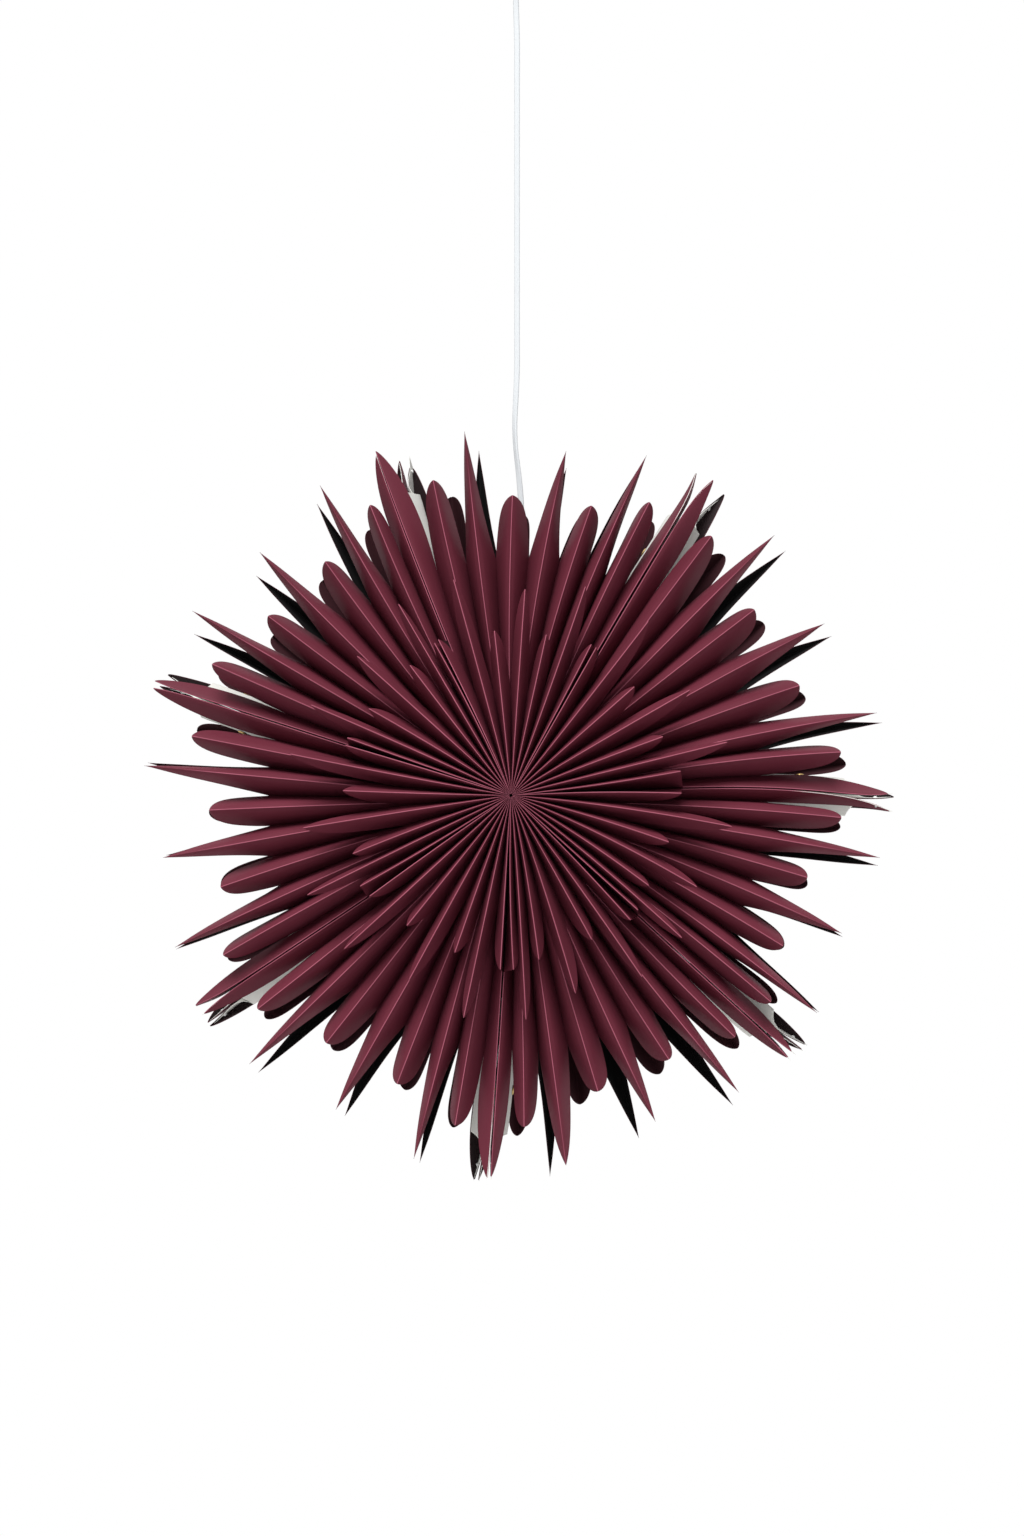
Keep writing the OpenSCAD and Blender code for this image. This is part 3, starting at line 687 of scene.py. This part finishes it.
def heading(angle):
    """Directions along a radius and across it, to the left, for an angle in degrees."""
    c, s = math.cos(math.radians(angle)), math.sin(math.radians(angle))
    return Vector((c, 0, s)), Vector((-s, 0, c))


def smooth(value, low, high):
    """0 below low and 1 above high, with a smooth step between."""
    share = min(1, max(0, (value - low) / (high - low)))
    return share * share * (3 - 2 * share)


def board_edge(scene, r):
    """Distance from the mid plane of the fold that lies over a board's edge."""
    star, outer = scene.starlamp_star, scene.starlamp_outer
    fall = (outer.ridge - outer.seam_depth) * (r - outer.first_r) / (star.seam_tip - outer.first_r)
    return outer.ridge - fall


class FanPlan:
    """Where the folds of one fan run. Angles are in degrees, lengths in metres."""

    def __init__(self, scene, unit, sizes, pixels, depths, powers):
        following = (unit + 1) % UNITS
        # A seam stands open at the front only, half of it on each side
        opens = 0.5 if depths[0] > 0 else 0
        self.first = SEAM_ANGLE[unit] + SEAM_OPEN[unit] * opens
        self.last = SEAM_ANGLE[following] + (360 if following == 0 else 0) - SEAM_OPEN[following] * opens
        self.hub = sizes.hub
        self.edge_side = sizes.edge_side
        self.pleats = len(pixels) - 1
        self.powers = powers
        self.tips = []
        for i, (pixel, depth) in enumerate(zip(pixels, depths)):
            r, angle = seen_at(scene, pixel, depth)
            even = self.first + (self.last - self.first) * i / self.pleats
            self.tips.append((r, even + (angle - even + 180) % 360 - 180))
        self.shared = [self.tips[0][1], self.tips[-1][1]]

    def angle(self, i, r):
        """Angle of fold i at radius r: even at the hub and the seen one at the tip."""
        first, last = self.first, self.last
        if 0 < i < self.pleats:
            inset = math.degrees(math.asin(min(1, self.edge_side / r)))
            first, last = first + inset, last - inset
        even = first + (last - first) * i / self.pleats
        tip, angle = self.tips[i]
        power = self.powers[min(i, self.pleats - i, len(self.powers) - 1)]
        reached = max(0, min(1, (r - self.hub) / (tip - self.hub)))
        shared = self.shared[0] if i == 0 else self.shared[1] if i == self.pleats else angle
        return even + (shared - even) * reached ** power + (angle - shared) * reached ** PART_POWER


class Seam:
    """The side of a seam at which one unit ends, with the line that its board follows."""

    def __init__(self, scene, front, back, at_end):
        self.scene = scene
        self.front, self.back = front, back
        self.fold = front.pleats if at_end else 0
        self.inward = -1 if at_end else 1

    def angle(self, r, depth):
        forward = min(1, max(0, 0.5 + 0.5 * depth / board_edge(self.scene, r)))
        return self.front.angle(self.fold, r) * forward + self.back.angle(self.fold, r) * (1 - forward)

    def bow(self, r, depth):
        """How far the board stands away from the seam there."""
        level = min(1, abs(depth) / board_edge(self.scene, r))
        held = smooth(r, *BOW_STARTS) * (1 - TIP_HOLD * smooth(r, *BOW_ENDS))
        return self.scene.starlamp_board.flare * held * (1 - smooth(level, 0, FLAT_LEVEL))

    def point(self, r, depth, side):
        """A point that far from the seam's plane, where the board has bent away with it."""
        return place(self.scene, r, self.angle(r, depth), self.inward * (side + self.bow(r, depth)), depth)


def outline(petal, count):
    """Shares of the way along a petal with the share of its width left there."""
    steps = []
    for n in range(1, count + 1):
        s = math.sin(math.pi / 2 * n / count) if petal.length_power > 1.5 else n / count
        s = min(s, 0.9985)
        steps.append((s, (1 - s ** petal.length_power) ** (1 / petal.width_power)))
    return steps


class Fan:
    """One pleated sheet, drawn as a single skin. Its marks steer the card's finish.

    ridge_depth(i, r) gives the distance of fold i from the mid plane, and flap_depth(r) that of the free
    edge of the flap at each end, which lies flap_side away from the seam's plane.
    """

    def __init__(self, scene, plan, sizes, ridge_depth, flap_depth, flap_side, front):
        self.scene, self.plan, self.sizes, self.front = scene, plan, sizes, front
        self.star = scene.starlamp_star
        self.ridge_depth, self.flap_depth, self.flap_side = ridge_depth, flap_depth, flap_side
        self.sign = 1 if front else -1
        self.forward = Vector((0, -self.sign, 0))
        self.points, self.faces = [], []
        self.marks = {"fold_mm": [], "edge_mm": [], "petal_tone": [], "black_back": [], "wear_and_highlight_line": []}

    def add(self, point, *values):
        """Adds a point with its marks and returns its number."""
        self.points.append(point)
        for numbers, value in zip(self.marks.values(), values):
            numbers.append(value)
        return len(self.points) - 1

    def fold_radius(self, r):
        spacing = r * math.radians(self.plan.last - self.plan.first) / (2 * self.plan.pleats)
        return min(self.star.fold, FOLD_SHARE * spacing)

    def line_scale(self, r):
        """Marks for a metre from a fold. More of them near the hub make the pale line of wear and painted highlight
        thinner there.
        """
        return (1 + self.star.thin_line * (1 - smooth(r, 0, FULL_LINE_R))) / MM

    def ridge(self, i, r, curl):
        """Centre of the round back of a fold, and the fold's angle."""
        plan, radius = self.plan, self.fold_radius(r)
        reached = max(0, (r - plan.hub) / (plan.tips[i][0] - plan.hub))
        depth = self.ridge_depth(i, r) - radius + curl * reached ** 5
        angle = plan.angle(i, r)
        side = {0: 1, plan.pleats: -1}.get(i, 0) * (self.flap_side + radius)
        return place(self.scene, r, angle, side, self.sign * depth), angle

    def valley(self, j, r):
        """A point of the fold between ridges j and j + 1."""
        sizes = self.sizes
        share = (r - sizes.hub) / (sizes.notch - sizes.hub)
        depth = sizes.valley_hub + (sizes.valley_rim - sizes.valley_hub) * share
        angle = (self.plan.angle(j, r) + self.plan.angle(j + 1, r)) / 2
        return place(self.scene, r, angle, 0, self.sign * depth)

    def rows(self, i, petal):
        """Radii from the hub to a tip, with the shares of the petal's length and width there."""
        hub, notch, tip = self.plan.hub, self.sizes.notch, self.plan.tips[i][0]
        count = self.star.pleat_rows
        return [(hub + (notch - hub) * n / count, 0, 1) for n in range(count + 1)] + [
            (notch + (tip - notch) * s, s, u) for s, u in outline(petal, self.star.petal_rows)]

    def round_back(self, centre, aside, radius, scale, turns, *marks):
        """Points round the back of a fold, over so many turns in degrees."""
        line = []
        for bow in map(math.radians, turns):
            point = centre + radius * (self.forward * math.cos(bow) + aside * math.sin(bow))
            line.append(self.add(point, radius * bow * scale, *marks))
        return line

    def panel(self, i, inward, petal, curl, roll, tone):
        """The panel beside ridge i as far as the valley, and half a petal past the cut."""
        j = i if inward == 1 else i - 1
        forward, notch = self.forward, self.sizes.notch
        foot, angle = self.ridge(i, notch, curl)
        along, left = heading(angle)
        reach = self.valley(j, notch) - foot
        sideways, back, lead = reach.dot(left * inward), -reach.dot(forward), reach.dot(along)
        size, steep = math.hypot(sideways, back), math.atan2(back, sideways)
        grid = []
        for r, s, u in self.rows(i, petal):
            centre, angle = self.ridge(i, r, curl)
            along, left = heading(angle)
            aside = left * inward
            if s == 0:
                width = self.valley(j, r) - centre
            else:
                slope = steep * (1 - petal.opens * s ** petal.opens_power) + roll * s * inward
                width = (aside * math.cos(slope) - forward * math.sin(slope)) * size * u + along * lead * u
            radius = min(self.fold_radius(r), PANEL_SHARE * width.length)
            edge = width.length + max(0, notch - r) + (NO_EDGE * MM if s == 0 else 0)
            # Strength of the pale fold line, part wear and part painted highlight, fading towards the tip
            worn = 1 - petal.fade * smooth(s, *FADE)
            scale = self.line_scale(r)
            line = self.round_back(centre, aside, radius, scale, (0, 30, 60, 90), edge / MM, tone,
                                   petal.black, worn)
            start = centre + radius * aside
            run = centre + width - start
            out = run.normalized().cross(along) * inward
            if out.dot(forward) < 0:
                out = -out
            bulge = self.sizes.crown * run.length * (1 - 0.4 * s)
            for v in PANEL_STOPS:
                point = start + run * v + out * bulge * math.sin(math.pi * v ** 0.6)
                line.append(self.add(point, (radius * math.pi / 2 + run.length * v) * scale,
                                     (edge - width.length * v) / MM, tone, petal.black, worn))
            grid.append(line)
        self.faces += strips(grid, (inward == 1) == self.front)

    def flap(self, i, seam, petal, curl, tone):
        """The flap at one end of the sheet, bent round the board's edge and lying on the board."""
        grid = []
        for r, _, _ in self.rows(i, petal):
            centre, angle = self.ridge(i, r, curl)
            radius = self.fold_radius(r)
            line = self.round_back(centre, heading(angle)[1] * -seam.inward, radius, self.line_scale(r),
                                   (0, 45, 90), NO_EDGE, tone, petal.black, 1)
            top, over, low = -centre.y * self.sign, board_edge(self.scene, r), self.flap_depth(r)
            past_edge = top - over > MM
            if past_edge:
                stops = [top + (over - top) * v for v in (0.25, 0.5, 0.75, 1)] + [low]
            else:
                stops = [top + (low - top) * v for v in (0.33, 0.5, 0.67, 1)] + [low]
            for depth in stops:
                own = smooth(depth, over, top) if past_edge else 0
                side = seam.inward * (self.flap_side + seam.bow(r, depth))
                level = seam.angle(r, self.sign * depth) * (1 - own) + angle * own
                line.append(self.add(place(self.scene, r, level, side, self.sign * depth),
                                     (radius * math.pi / 2 + top - depth) / MM, NO_EDGE, tone,
                                     petal.black, 1))
            grid.append(line)
        self.faces += strips(grid, (seam.inward == -1) == self.front)

    def piece(self, name):
        """The finished sheet, with its panels joined and its thickness given."""
        piece = new_piece(name, self.points, self.faces, card_materials())
        for label, numbers in self.marks.items():
            piece.data.attributes.new(label, "FLOAT", "POINT").data.foreach_set("value", numbers)
        use_alone(piece)
        in_edit_mode(bpy.ops.mesh.remove_doubles, threshold=SAME_PLACE)
        harden(piece, self.star.card, -1, (1, 2), 45)
        return piece


def fold_fans(scene, kind, seed, petals_of, sizes, ridge_depth, flap_depth, flap_sides):
    """Folds the seven front and seven back fans of one kind; flap_sides holds the front and back one."""
    draw_plans(scene)
    for unit in range(UNITS):
        for position, front, flap_side in zip(("front", "back"), (True, False), flap_sides):
            rng = random.Random(seed + 100 * unit + front)
            plan = PLANS[kind, front, unit]
            fan = Fan(scene, plan, sizes, ridge_depth, flap_depth, flap_side, front)
            for i, petal in enumerate(petals_of(unit, front)):
                tone = rng.random()
                curl = rng.uniform(-1, 1) * (SHARP_CURL if petal is SHARP else CURL) * MM
                roll = math.radians(rng.uniform(-1, 1) * petal.roll)
                for inward, has_panel in ((-1, i > 0), (1, i < plan.pleats)):
                    if has_panel:
                        fan.panel(i, inward, petal, curl, roll, tone)
                if i in (0, plan.pleats):
                    fan.flap(i, PLANS["seams", unit][i > 0], petal, curl, tone)
            settle(fan.piece(f"{position}_{kind}_card_{unit + 1}"), "burgundy_card",
                   f"{position}_{kind}_fan_{unit + 1}")


@functools.cache
def card_materials():
    """Finishes of a sheet's front, back and cut edge, which all the fans share."""
    look = bpy.context.scene.starlamp_card
    return card_face(look), card_back(look), card_edge(look)


def draw_plans(scene):
    """Works out where the folds of all fans run. Neighbours share one line up to their seam's tips."""
    outer, inner = scene.starlamp_outer, scene.starlamp_inner
    for unit in range(UNITS):
        for front, sign, tips, powers in ((True, 1, FRONT_TIPS[unit], FRONT_POWERS),
                                          (False, -1, BACK_TIPS[unit], BACK_POWERS)):
            depths = [sign * outer.ridge] * len(tips)
            depths[0] = depths[-1] = sign * outer.seam_depth
            PLANS["outer", front, unit] = FanPlan(scene, unit, outer, tips, depths, powers)
        tips = INNER_TIPS[unit]
        fan = FanPlan(scene, unit, inner, tips, [inner.ridge - inner.fall] * len(tips), INNER_POWERS)
        PLANS["inner", True, unit] = PLANS["inner", False, unit] = fan
    for unit in range(UNITS):
        for front in (True, False):
            before, after = PLANS["outer", front, (unit - 1) % UNITS], PLANS["outer", front, unit]
            turned = 360 if unit == 0 else 0
            middle = (before.tips[-1][1] + after.tips[0][1] + turned) / 2
            before.shared[1], after.shared[0] = middle, middle - turned
    for unit in range(UNITS):
        ends = PLANS["outer", True, unit], PLANS["outer", False, unit]
        PLANS["seams", unit] = Seam(scene, *ends, False), Seam(scene, *ends, True)


class STARLAMP_OT_camera(bpy.types.Operator):
    """Places the camera below the star's centre, looking up at it"""
    bl_idname = "starlamp.camera"
    bl_label = "Camera"

    def execute(self, context):
        eye, forward, _, _ = sight(context.scene)
        lens = bpy.data.cameras.new("camera")
        lens.sensor_width = SENSOR
        lens.lens = context.scene.starlamp_stage.lens
        camera = bpy.data.objects.new("camera", lens)
        camera.location = eye
        camera.rotation_euler = forward.to_track_quat("-Z", "Y").to_euler()
        context.scene.collection.objects.link(camera)
        context.scene.camera = camera
        return {"FINISHED"}


class STARLAMP_OT_cord(bpy.types.Operator):
    """Sweeps the flat two-core cord along its route"""
    bl_idname = "starlamp.cord"
    bl_label = "Cord"

    def execute(self, context):
        sizes = context.scene.starlamp_cord
        half_w, half_t = sizes.width / 2, sizes.thickness / 2
        core = half_w - half_t
        section = []
        for side in (1, -1):
            for n in range(7):
                bow = math.radians(-90 + 30 * n)
                section.append((side * (core + half_t * math.cos(bow)), side * half_t * math.sin(bow)))
            section.append((0, side * (half_t - sizes.groove)))
        path = [Vector((x, 0, z)) * MM for x, z, _ in CORD_ROUTE]
        rings, angles = smooth_route(path, [twist for _, _, twist in CORD_ROUTE], 4)
        points = []
        for centre, angle in zip(rings, angles):
            c, s = math.cos(math.radians(angle)), math.sin(math.radians(angle))
            points += [centre + Vector((x * c - y * s, x * s + y * c, 0)) for x, y in section]
        count = len(section)
        rows = [[first + n % count for n in range(count + 1)] for first in range(0, len(points), count)]
        ends = [tuple(range(count))[::-1], tuple(range(len(points) - count, len(points)))]
        cord = new_piece("flat_cord", points, ends[:1] + strips(rows) + ends[1:],
                         [plastic("white_cord", (0.83, 0.86, 0.885), 0.42, 900)])
        use_alone(cord)
        shade_smooth(50)
        settle(cord, "cord_white", "cord")
        span = sum((b - a).length for a, b in zip(rings, rings[1:]))
        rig.cord(cord, exit=rings[0], length=span, diameter=sizes.width, far_end="object",
                stiffness="medium", lay="taut", path=rings)
        return {"FINISHED"}


def smooth_route(path, twist, steps):
    """Points on a smooth line through the route's points, with the twist at each."""
    rings, angles = [], []
    last = len(path) - 1
    for n in range(last):
        p0, p1, p2, p3 = path[max(0, n - 1)], path[n], path[n + 1], path[min(last, n + 2)]
        for step in range(steps):
            t = step / steps
            rings.append(0.5 * (2 * p1 + (p2 - p0) * t + (2 * p0 - 5 * p1 + 4 * p2 - p3) * t ** 2
                                + (3 * p1 - p0 - 3 * p2 + p3) * t ** 3))
            angles.append(twist[n] + (twist[n + 1] - twist[n]) * t)
    return rings + [path[-1]], angles + [twist[-1]]


class STARLAMP_OT_stage(bpy.types.Operator):
    """Lays the floor and sets the lights and the white surroundings"""
    bl_idname = "starlamp.stage"
    bl_label = "Stage"

    def execute(self, context):
        stage = context.scene.starlamp_stage
        deselect()
        bpy.ops.mesh.primitive_circle_add(radius=5, vertices=96, fill_type="NGON",
                                          location=(0, 0, -stage.floor_drop))
        floor = context.active_object
        floor.name = "floor"
        bpy.ops.object.transform_apply(location=True)
        ground = Finish("pale_floor")
        speck = ground.noise(60, 3)
        tint = ground.mix(speck, (0.78, 0.78, 0.775), (0.82, 0.82, 0.815))
        floor.data.materials.append(ground.surface(Base_Color=tint, Roughness=speck * 0.1 + 0.8))
        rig.stage(floor)
        self.sun("key_light", stage.key, (math.radians(36), 0, math.radians(-8)), 35)
        self.sun("fill_light", stage.fill, (math.radians(88), 0, math.radians(10)), 60)
        world = bpy.data.worlds.new("white_room")
        context.scene.world = world
        sky = Nodes(world)
        seen = sky.node("LightPath").outputs
        shown = Value(sky, seen["Is Camera Ray"])
        for kind in ("Is Glossy Ray", "Is Transmission Ray"):
            shown = shown.math("MAXIMUM", seen[kind])
        level = sky.node("MapRange", {}, {"Value": shown, "To Min": stage.sky, "To Max": 1})
        background = sky.tree.nodes["Background"].inputs
        sky.fill(background["Color"], (1, 1, 1))
        sky.fill(background["Strength"], level.outputs["Result"])
        context.scene.view_settings.view_transform = "Standard"
        return {"FINISHED"}

    def sun(self, name, strength, rotation, spread):
        light = bpy.data.lights.new(name, "SUN")
        light.energy = strength
        light.angle = math.radians(spread)
        lamp = bpy.data.objects.new(name, light)
        lamp.rotation_euler = rotation
        bpy.context.scene.collection.objects.link(lamp)


class STARLAMP_OT_outer_fans(bpy.types.Operator):
    """Folds the seven front and seven back outer fans"""
    bl_idname = "starlamp.outer_fans"
    bl_label = "Outer fans"

    def execute(self, context):
        scene = context.scene
        star, sizes = scene.starlamp_star, scene.starlamp_outer

        def ridge_depth(i, r):
            return board_edge(scene, r) if i in (0, len(OUTER_PETALS) - 1) else sizes.ridge

        def tab_depth(r):
            share = min(1, (r - sizes.hub) / (star.seam_tip - sizes.hub))
            tab = sizes.tab * (1 - share) + sizes.tab_tip * share
            return board_edge(scene, r) - tab * (1 - TAB_TAPER * smooth(r, TAB_TAPER_R, star.seam_tip))

        def petals_of(unit, front):
            petals = list(OUTER_PETALS)
            petals[0] = SEAM._replace(opens=SEAM_OPENS[unit][1])
            petals[-1] = SEAM._replace(opens=SEAM_OPENS[(unit + 1) % UNITS][0])
            return [ODD_PETALS.get((unit, fold), petal) if front else petal
                    for fold, petal in enumerate(petals)]

        fold_fans(scene, "outer", 0, petals_of, sizes, ridge_depth, tab_depth,
                  (sizes.tab_side, sizes.back_side))
        return {"FINISHED"}


class STARLAMP_OT_inner_fans(bpy.types.Operator):
    """Folds the seven front and seven back inner fans"""
    bl_idname = "starlamp.inner_fans"
    bl_label = "Inner fans"

    def execute(self, context):
        scene = context.scene
        sizes = scene.starlamp_inner

        def ridge_depth(i, r):
            return sizes.ridge - sizes.fall * r / sizes.long_tip

        def wing_depth(r):
            return board_edge(scene, r) - sizes.wing

        fold_fans(scene, "inner", 1000, lambda unit, front: INNER_PETALS, sizes, ridge_depth, wing_depth,
                  (sizes.wing_side, sizes.wing_side))
        return {"FINISHED"}


class STARLAMP_OT_boards(bpy.types.Operator):
    """Cuts and bends the white end boards"""
    bl_idname = "starlamp.boards"
    bl_label = "Boards"

    def execute(self, context):
        finish = white_board(context.scene.starlamp_card)
        draw_plans(context.scene)
        for unit in range(UNITS):
            for end, seam in zip(("start", "end"), PLANS["seams", unit]):
                board = self.board(context.scene, f"{end}_card_board_{unit + 1}", seam, finish)
                settle(board, "white_board", f"{end}_board_{unit + 1}")
        return {"FINISHED"}

    def board(self, scene, name, seam, finish):
        sizes = scene.starlamp_board
        half_end = board_edge(scene, sizes.tip) - sizes.edge_gap - sizes.ear
        circle = (half_end ** 2 + sizes.hollow ** 2) / (2 * sizes.hollow)
        centre = sizes.tip - sizes.hollow + circle
        kink = half_end / (half_end + sizes.ear - sizes.rim)
        middle = (0, 0.16, 0.32, 0.48, 0.64, 0.8, kink, 1)
        # Levels across the board, from its front edge to its back one, and whether each lies in a rim
        levels = [(-1, True), (-0.5, True), *((-share, False) for share in middle[:0:-1]),
                  *((share, False) for share in middle), (0.5, True), (1, True)]
        radii = [sizes.hub + (sizes.strip_start - sizes.hub) * n / 4 for n in range(4)]
        radii += [sizes.strip_start, (sizes.strip_start + sizes.strip_end) / 2]
        radii += [sizes.strip_end + (sizes.closed_from - sizes.strip_end) * n / 4 for n in range(5)]
        openings = ((sizes.hub, sizes.strip_start), (sizes.strip_end, sizes.closed_from))
        closed = len(radii) - 1
        end_steps = 16

        def point(row, level, in_rim):
            """A point of the board. In the closed part its radius depends on its depth and the other
            way round, so both are worked out twice."""
            r = radii[min(row, closed)]
            for _ in range(2):
                edge = board_edge(scene, r) - sizes.edge_gap
                inside = edge - sizes.rim
                depth = math.copysign(inside + sizes.rim * abs(level), level) if in_rim else inside * level
                end = centre - math.sqrt(circle ** 2 - min(abs(depth), half_end) ** 2)
                end -= sizes.ear_slope * min(1, max(0, edge - abs(depth)) / sizes.ear) ** 0.8
                if row > closed:
                    r = sizes.closed_from + (end - sizes.closed_from) * (row - closed) / end_steps
            return seam.point(r, depth, sizes.side)

        def in_opening(row, column):
            return row < closed and 2 <= column < len(levels) - 3 and any(
                start <= radii[row] + SAME_PLACE < end for start, end in openings)

        count = len(levels)
        points = [point(row, *level) for row in range(closed + 1 + end_steps) for level in levels]
        rows = [range(first, first + count) for first in range(0, len(points), count)]
        board = new_piece(name, points, strips(rows, seam.inward == 1, in_opening), [finish])
        harden(board, sizes.thickness, -1, (0, 0), 40)
        return board


class STARLAMP_OT_fasteners(bpy.types.Operator):
    """Makes the brass pins and the white studs, and finishes the wire hanger"""
    bl_idname = "starlamp.fasteners"
    bl_label = "Fasteners"

    def execute(self, context):
        scene = context.scene
        draw_plans(scene)
        brass = metal("brass", (0.72, 0.5, 0.2), 0.25, (1, 1, 12))
        dress(["screw_sleeve", "centre_contact"], brass)
        dress(["wire_hanger"], metal("hanger_wire", (0.62, 0.62, 0.63), 0.3, (14, 1, 1)))
        pins = join("brass_paper_pins", [self.pin(scene, seam, brass) for seam in range(UNITS)])
        settle(pins, "brass", "brass_fasteners")
        white = plastic("stud_plastic", (0.86, 0.86, 0.85), 0.3, 1500)
        sizes = scene.starlamp_board
        studs = []
        for unit in range(UNITS):
            for seam in PLANS["seams", unit]:
                depth = board_edge(scene, sizes.stud) - sizes.edge_gap - sizes.stud_head / 2
                depth -= sizes.stud_inset
                studs += [self.stud(scene, seam, depth, white), self.stud(scene, seam, -depth, white)]
        settle(join("white_tip_studs", studs), "white_plastic", "tip_studs")
        return {"FINISHED"}

    def pin(self, scene, number, finish):
        """A pin with a domed head on one board and two legs folded open on the other."""
        sizes = scene.starlamp_board
        outside = sizes.side + sizes.thickness
        starts = PLANS["seams", number][0].point(sizes.pin, 0, outside)
        ends = PLANS["seams", (number - 1) % UNITS][1].point(sizes.pin, 0, outside)
        axis = (starts - ends).normalized()
        radial = Vector((starts.x, 0, starts.z + scene.starlamp_star.drop))
        radial = (radial - axis * radial.dot(axis)).normalized()
        turned = Matrix((radial, axis.cross(radial), axis)).transposed().to_4x4()
        parts = [dome("pin_head", sizes.pin_head / 2, 0.32, Matrix.Translation(starts) @ turned, finish)]
        span, half, gap = (starts - ends).length, sizes.pin_width / 2, 0.3 * MM
        route = [(gap, 0), (gap, MM - span), (gap * 2, 0.2 * MM - span), (gap * 5, -span - 0.35 * MM),
                 (sizes.pin_leg * 0.6, -span - 0.45 * MM), (sizes.pin_leg, -span - 0.3 * MM)]
        for way in (1, -1):
            line = [turned @ Vector((way * x, y, z)) + starts for x, z in route for y in (-half, half)]
            faces = strips([(2 * n, 2 * n + 1) for n in range(len(route))], way == -1)
            leg = new_piece("pin_leg", line, faces, [finish])
            harden(leg, 0.5 * MM, 0, (0, 0), 40)
            parts.append(leg)
        return join("pin", parts)

    def stud(self, scene, seam, depth, finish):
        """A round head on a board's inner face, on a short shank through the board."""
        sizes = scene.starlamp_board
        foot = seam.point(sizes.stud, depth, sizes.side + sizes.thickness)
        out = (seam.point(sizes.stud, depth, 10 * MM) - seam.point(sizes.stud, depth, 0)).normalized()
        radial = out.cross(Vector((0, 1, 0))).normalized()
        turned = Matrix.Translation(foot) @ Matrix((radial, out.cross(radial), out)).transposed().to_4x4()
        head = dome("stud_head", sizes.stud_head / 2, 0.8, turned, finish)
        deselect()
        bpy.ops.mesh.primitive_cylinder_add(vertices=16, radius=sizes.stud_shank / 2, depth=1.2 * MM,
                                            location=(0, 0, -0.5 * MM))
        shank = bpy.context.active_object
        shank.data.materials.append(finish)
        bpy.ops.object.transform_apply(location=True)
        shank.data.transform(turned)
        return join("stud", [head, shank])


def dome(name, radius, flatness, turned, finish):
    """Half a ball, flattened, closed below and moved to its place."""
    deselect()
    bpy.ops.mesh.primitive_uv_sphere_add(segments=24, ring_count=12, radius=radius)
    piece = bpy.context.active_object
    piece.name = name
    in_edit_mode(bpy.ops.mesh.bisect, plane_co=(0, 0, 0), plane_no=(0, 0, 1), use_fill=True,
                 clear_inner=True)
    piece.data.transform(Matrix.Diagonal((1, 1, flatness, 1)))
    piece.data.transform(turned)
    piece.data.materials.append(finish)
    shade_smooth(50)
    return piece


def join(name, pieces):
    use_alone(*pieces)
    bpy.ops.object.join()
    joined = bpy.context.active_object
    joined.name = name
    return joined


class STARLAMP_OT_lamp_holder(bpy.types.Operator):
    """Finishes the lamp holder and its bulb"""
    bl_idname = "starlamp.lamp_holder"
    bl_label = "Lamp holder"

    def execute(self, context):
        dress(["holder_shell", "holder_cap", "holder_grip", "contact_block", "cup_grip", "ceiling_cup",
               "terminal_block"], plastic("white_moulded_plastic", (0.82, 0.82, 0.81), 0.38, 1800))
        dress(["bulb"], opal_glass())
        dress(["ceiling_bracket"], metal("bracket_steel", (0.56, 0.57, 0.58), 0.35, (14, 1, 1)))
        return {"FINISHED"}


class STARLAMP_PT_panel(bpy.types.Panel):
    """Lists the steps that build the lamp"""
    bl_idname = "STARLAMP_PT_panel"
    bl_label = "Star Lamp"
    bl_space_type = "VIEW_3D"
    bl_region_type = "UI"
    bl_category = "Star Lamp"

    def draw(self, context):
        for step in STEPS:
            self.layout.operator(step.bl_idname)


STEPS = (STARLAMP_OT_camera, STARLAMP_OT_cord, STARLAMP_OT_stage, STARLAMP_OT_outer_fans,
         STARLAMP_OT_inner_fans, STARLAMP_OT_boards, STARLAMP_OT_fasteners, STARLAMP_OT_lamp_holder)
SETTINGS = {"starlamp_star": StarSizes, "starlamp_outer": OuterFanSizes, "starlamp_inner": InnerFanSizes,
            "starlamp_board": BoardSizes, "starlamp_cord": CordSizes, "starlamp_card": CardFinish,
            "starlamp_stage": StageLook}


def register():
    for kind in (*SETTINGS.values(), *STEPS, STARLAMP_PT_panel):
        bpy.utils.register_class(kind)
    for name, kind in SETTINGS.items():
        setattr(bpy.types.Scene, name, PointerProperty(type=kind))


def unregister():
    for name in SETTINGS:
        delattr(bpy.types.Scene, name)
    for kind in (STARLAMP_PT_panel, *reversed(STEPS), *reversed(SETTINGS.values())):
        bpy.utils.unregister_class(kind)


def main():
    register()
    for step in STEPS:
        group, name = step.bl_idname.split(".")
        getattr(getattr(bpy.ops, group), name)()
    bounds = {"cad": CAD_BOUNDS, "visual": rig.bounds()}
    with open("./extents.json", "w") as f:
        json.dump({key: [list(corner) for corner in box] for key, box in bounds.items()}, f)


if __name__ == "__main__":
    main()
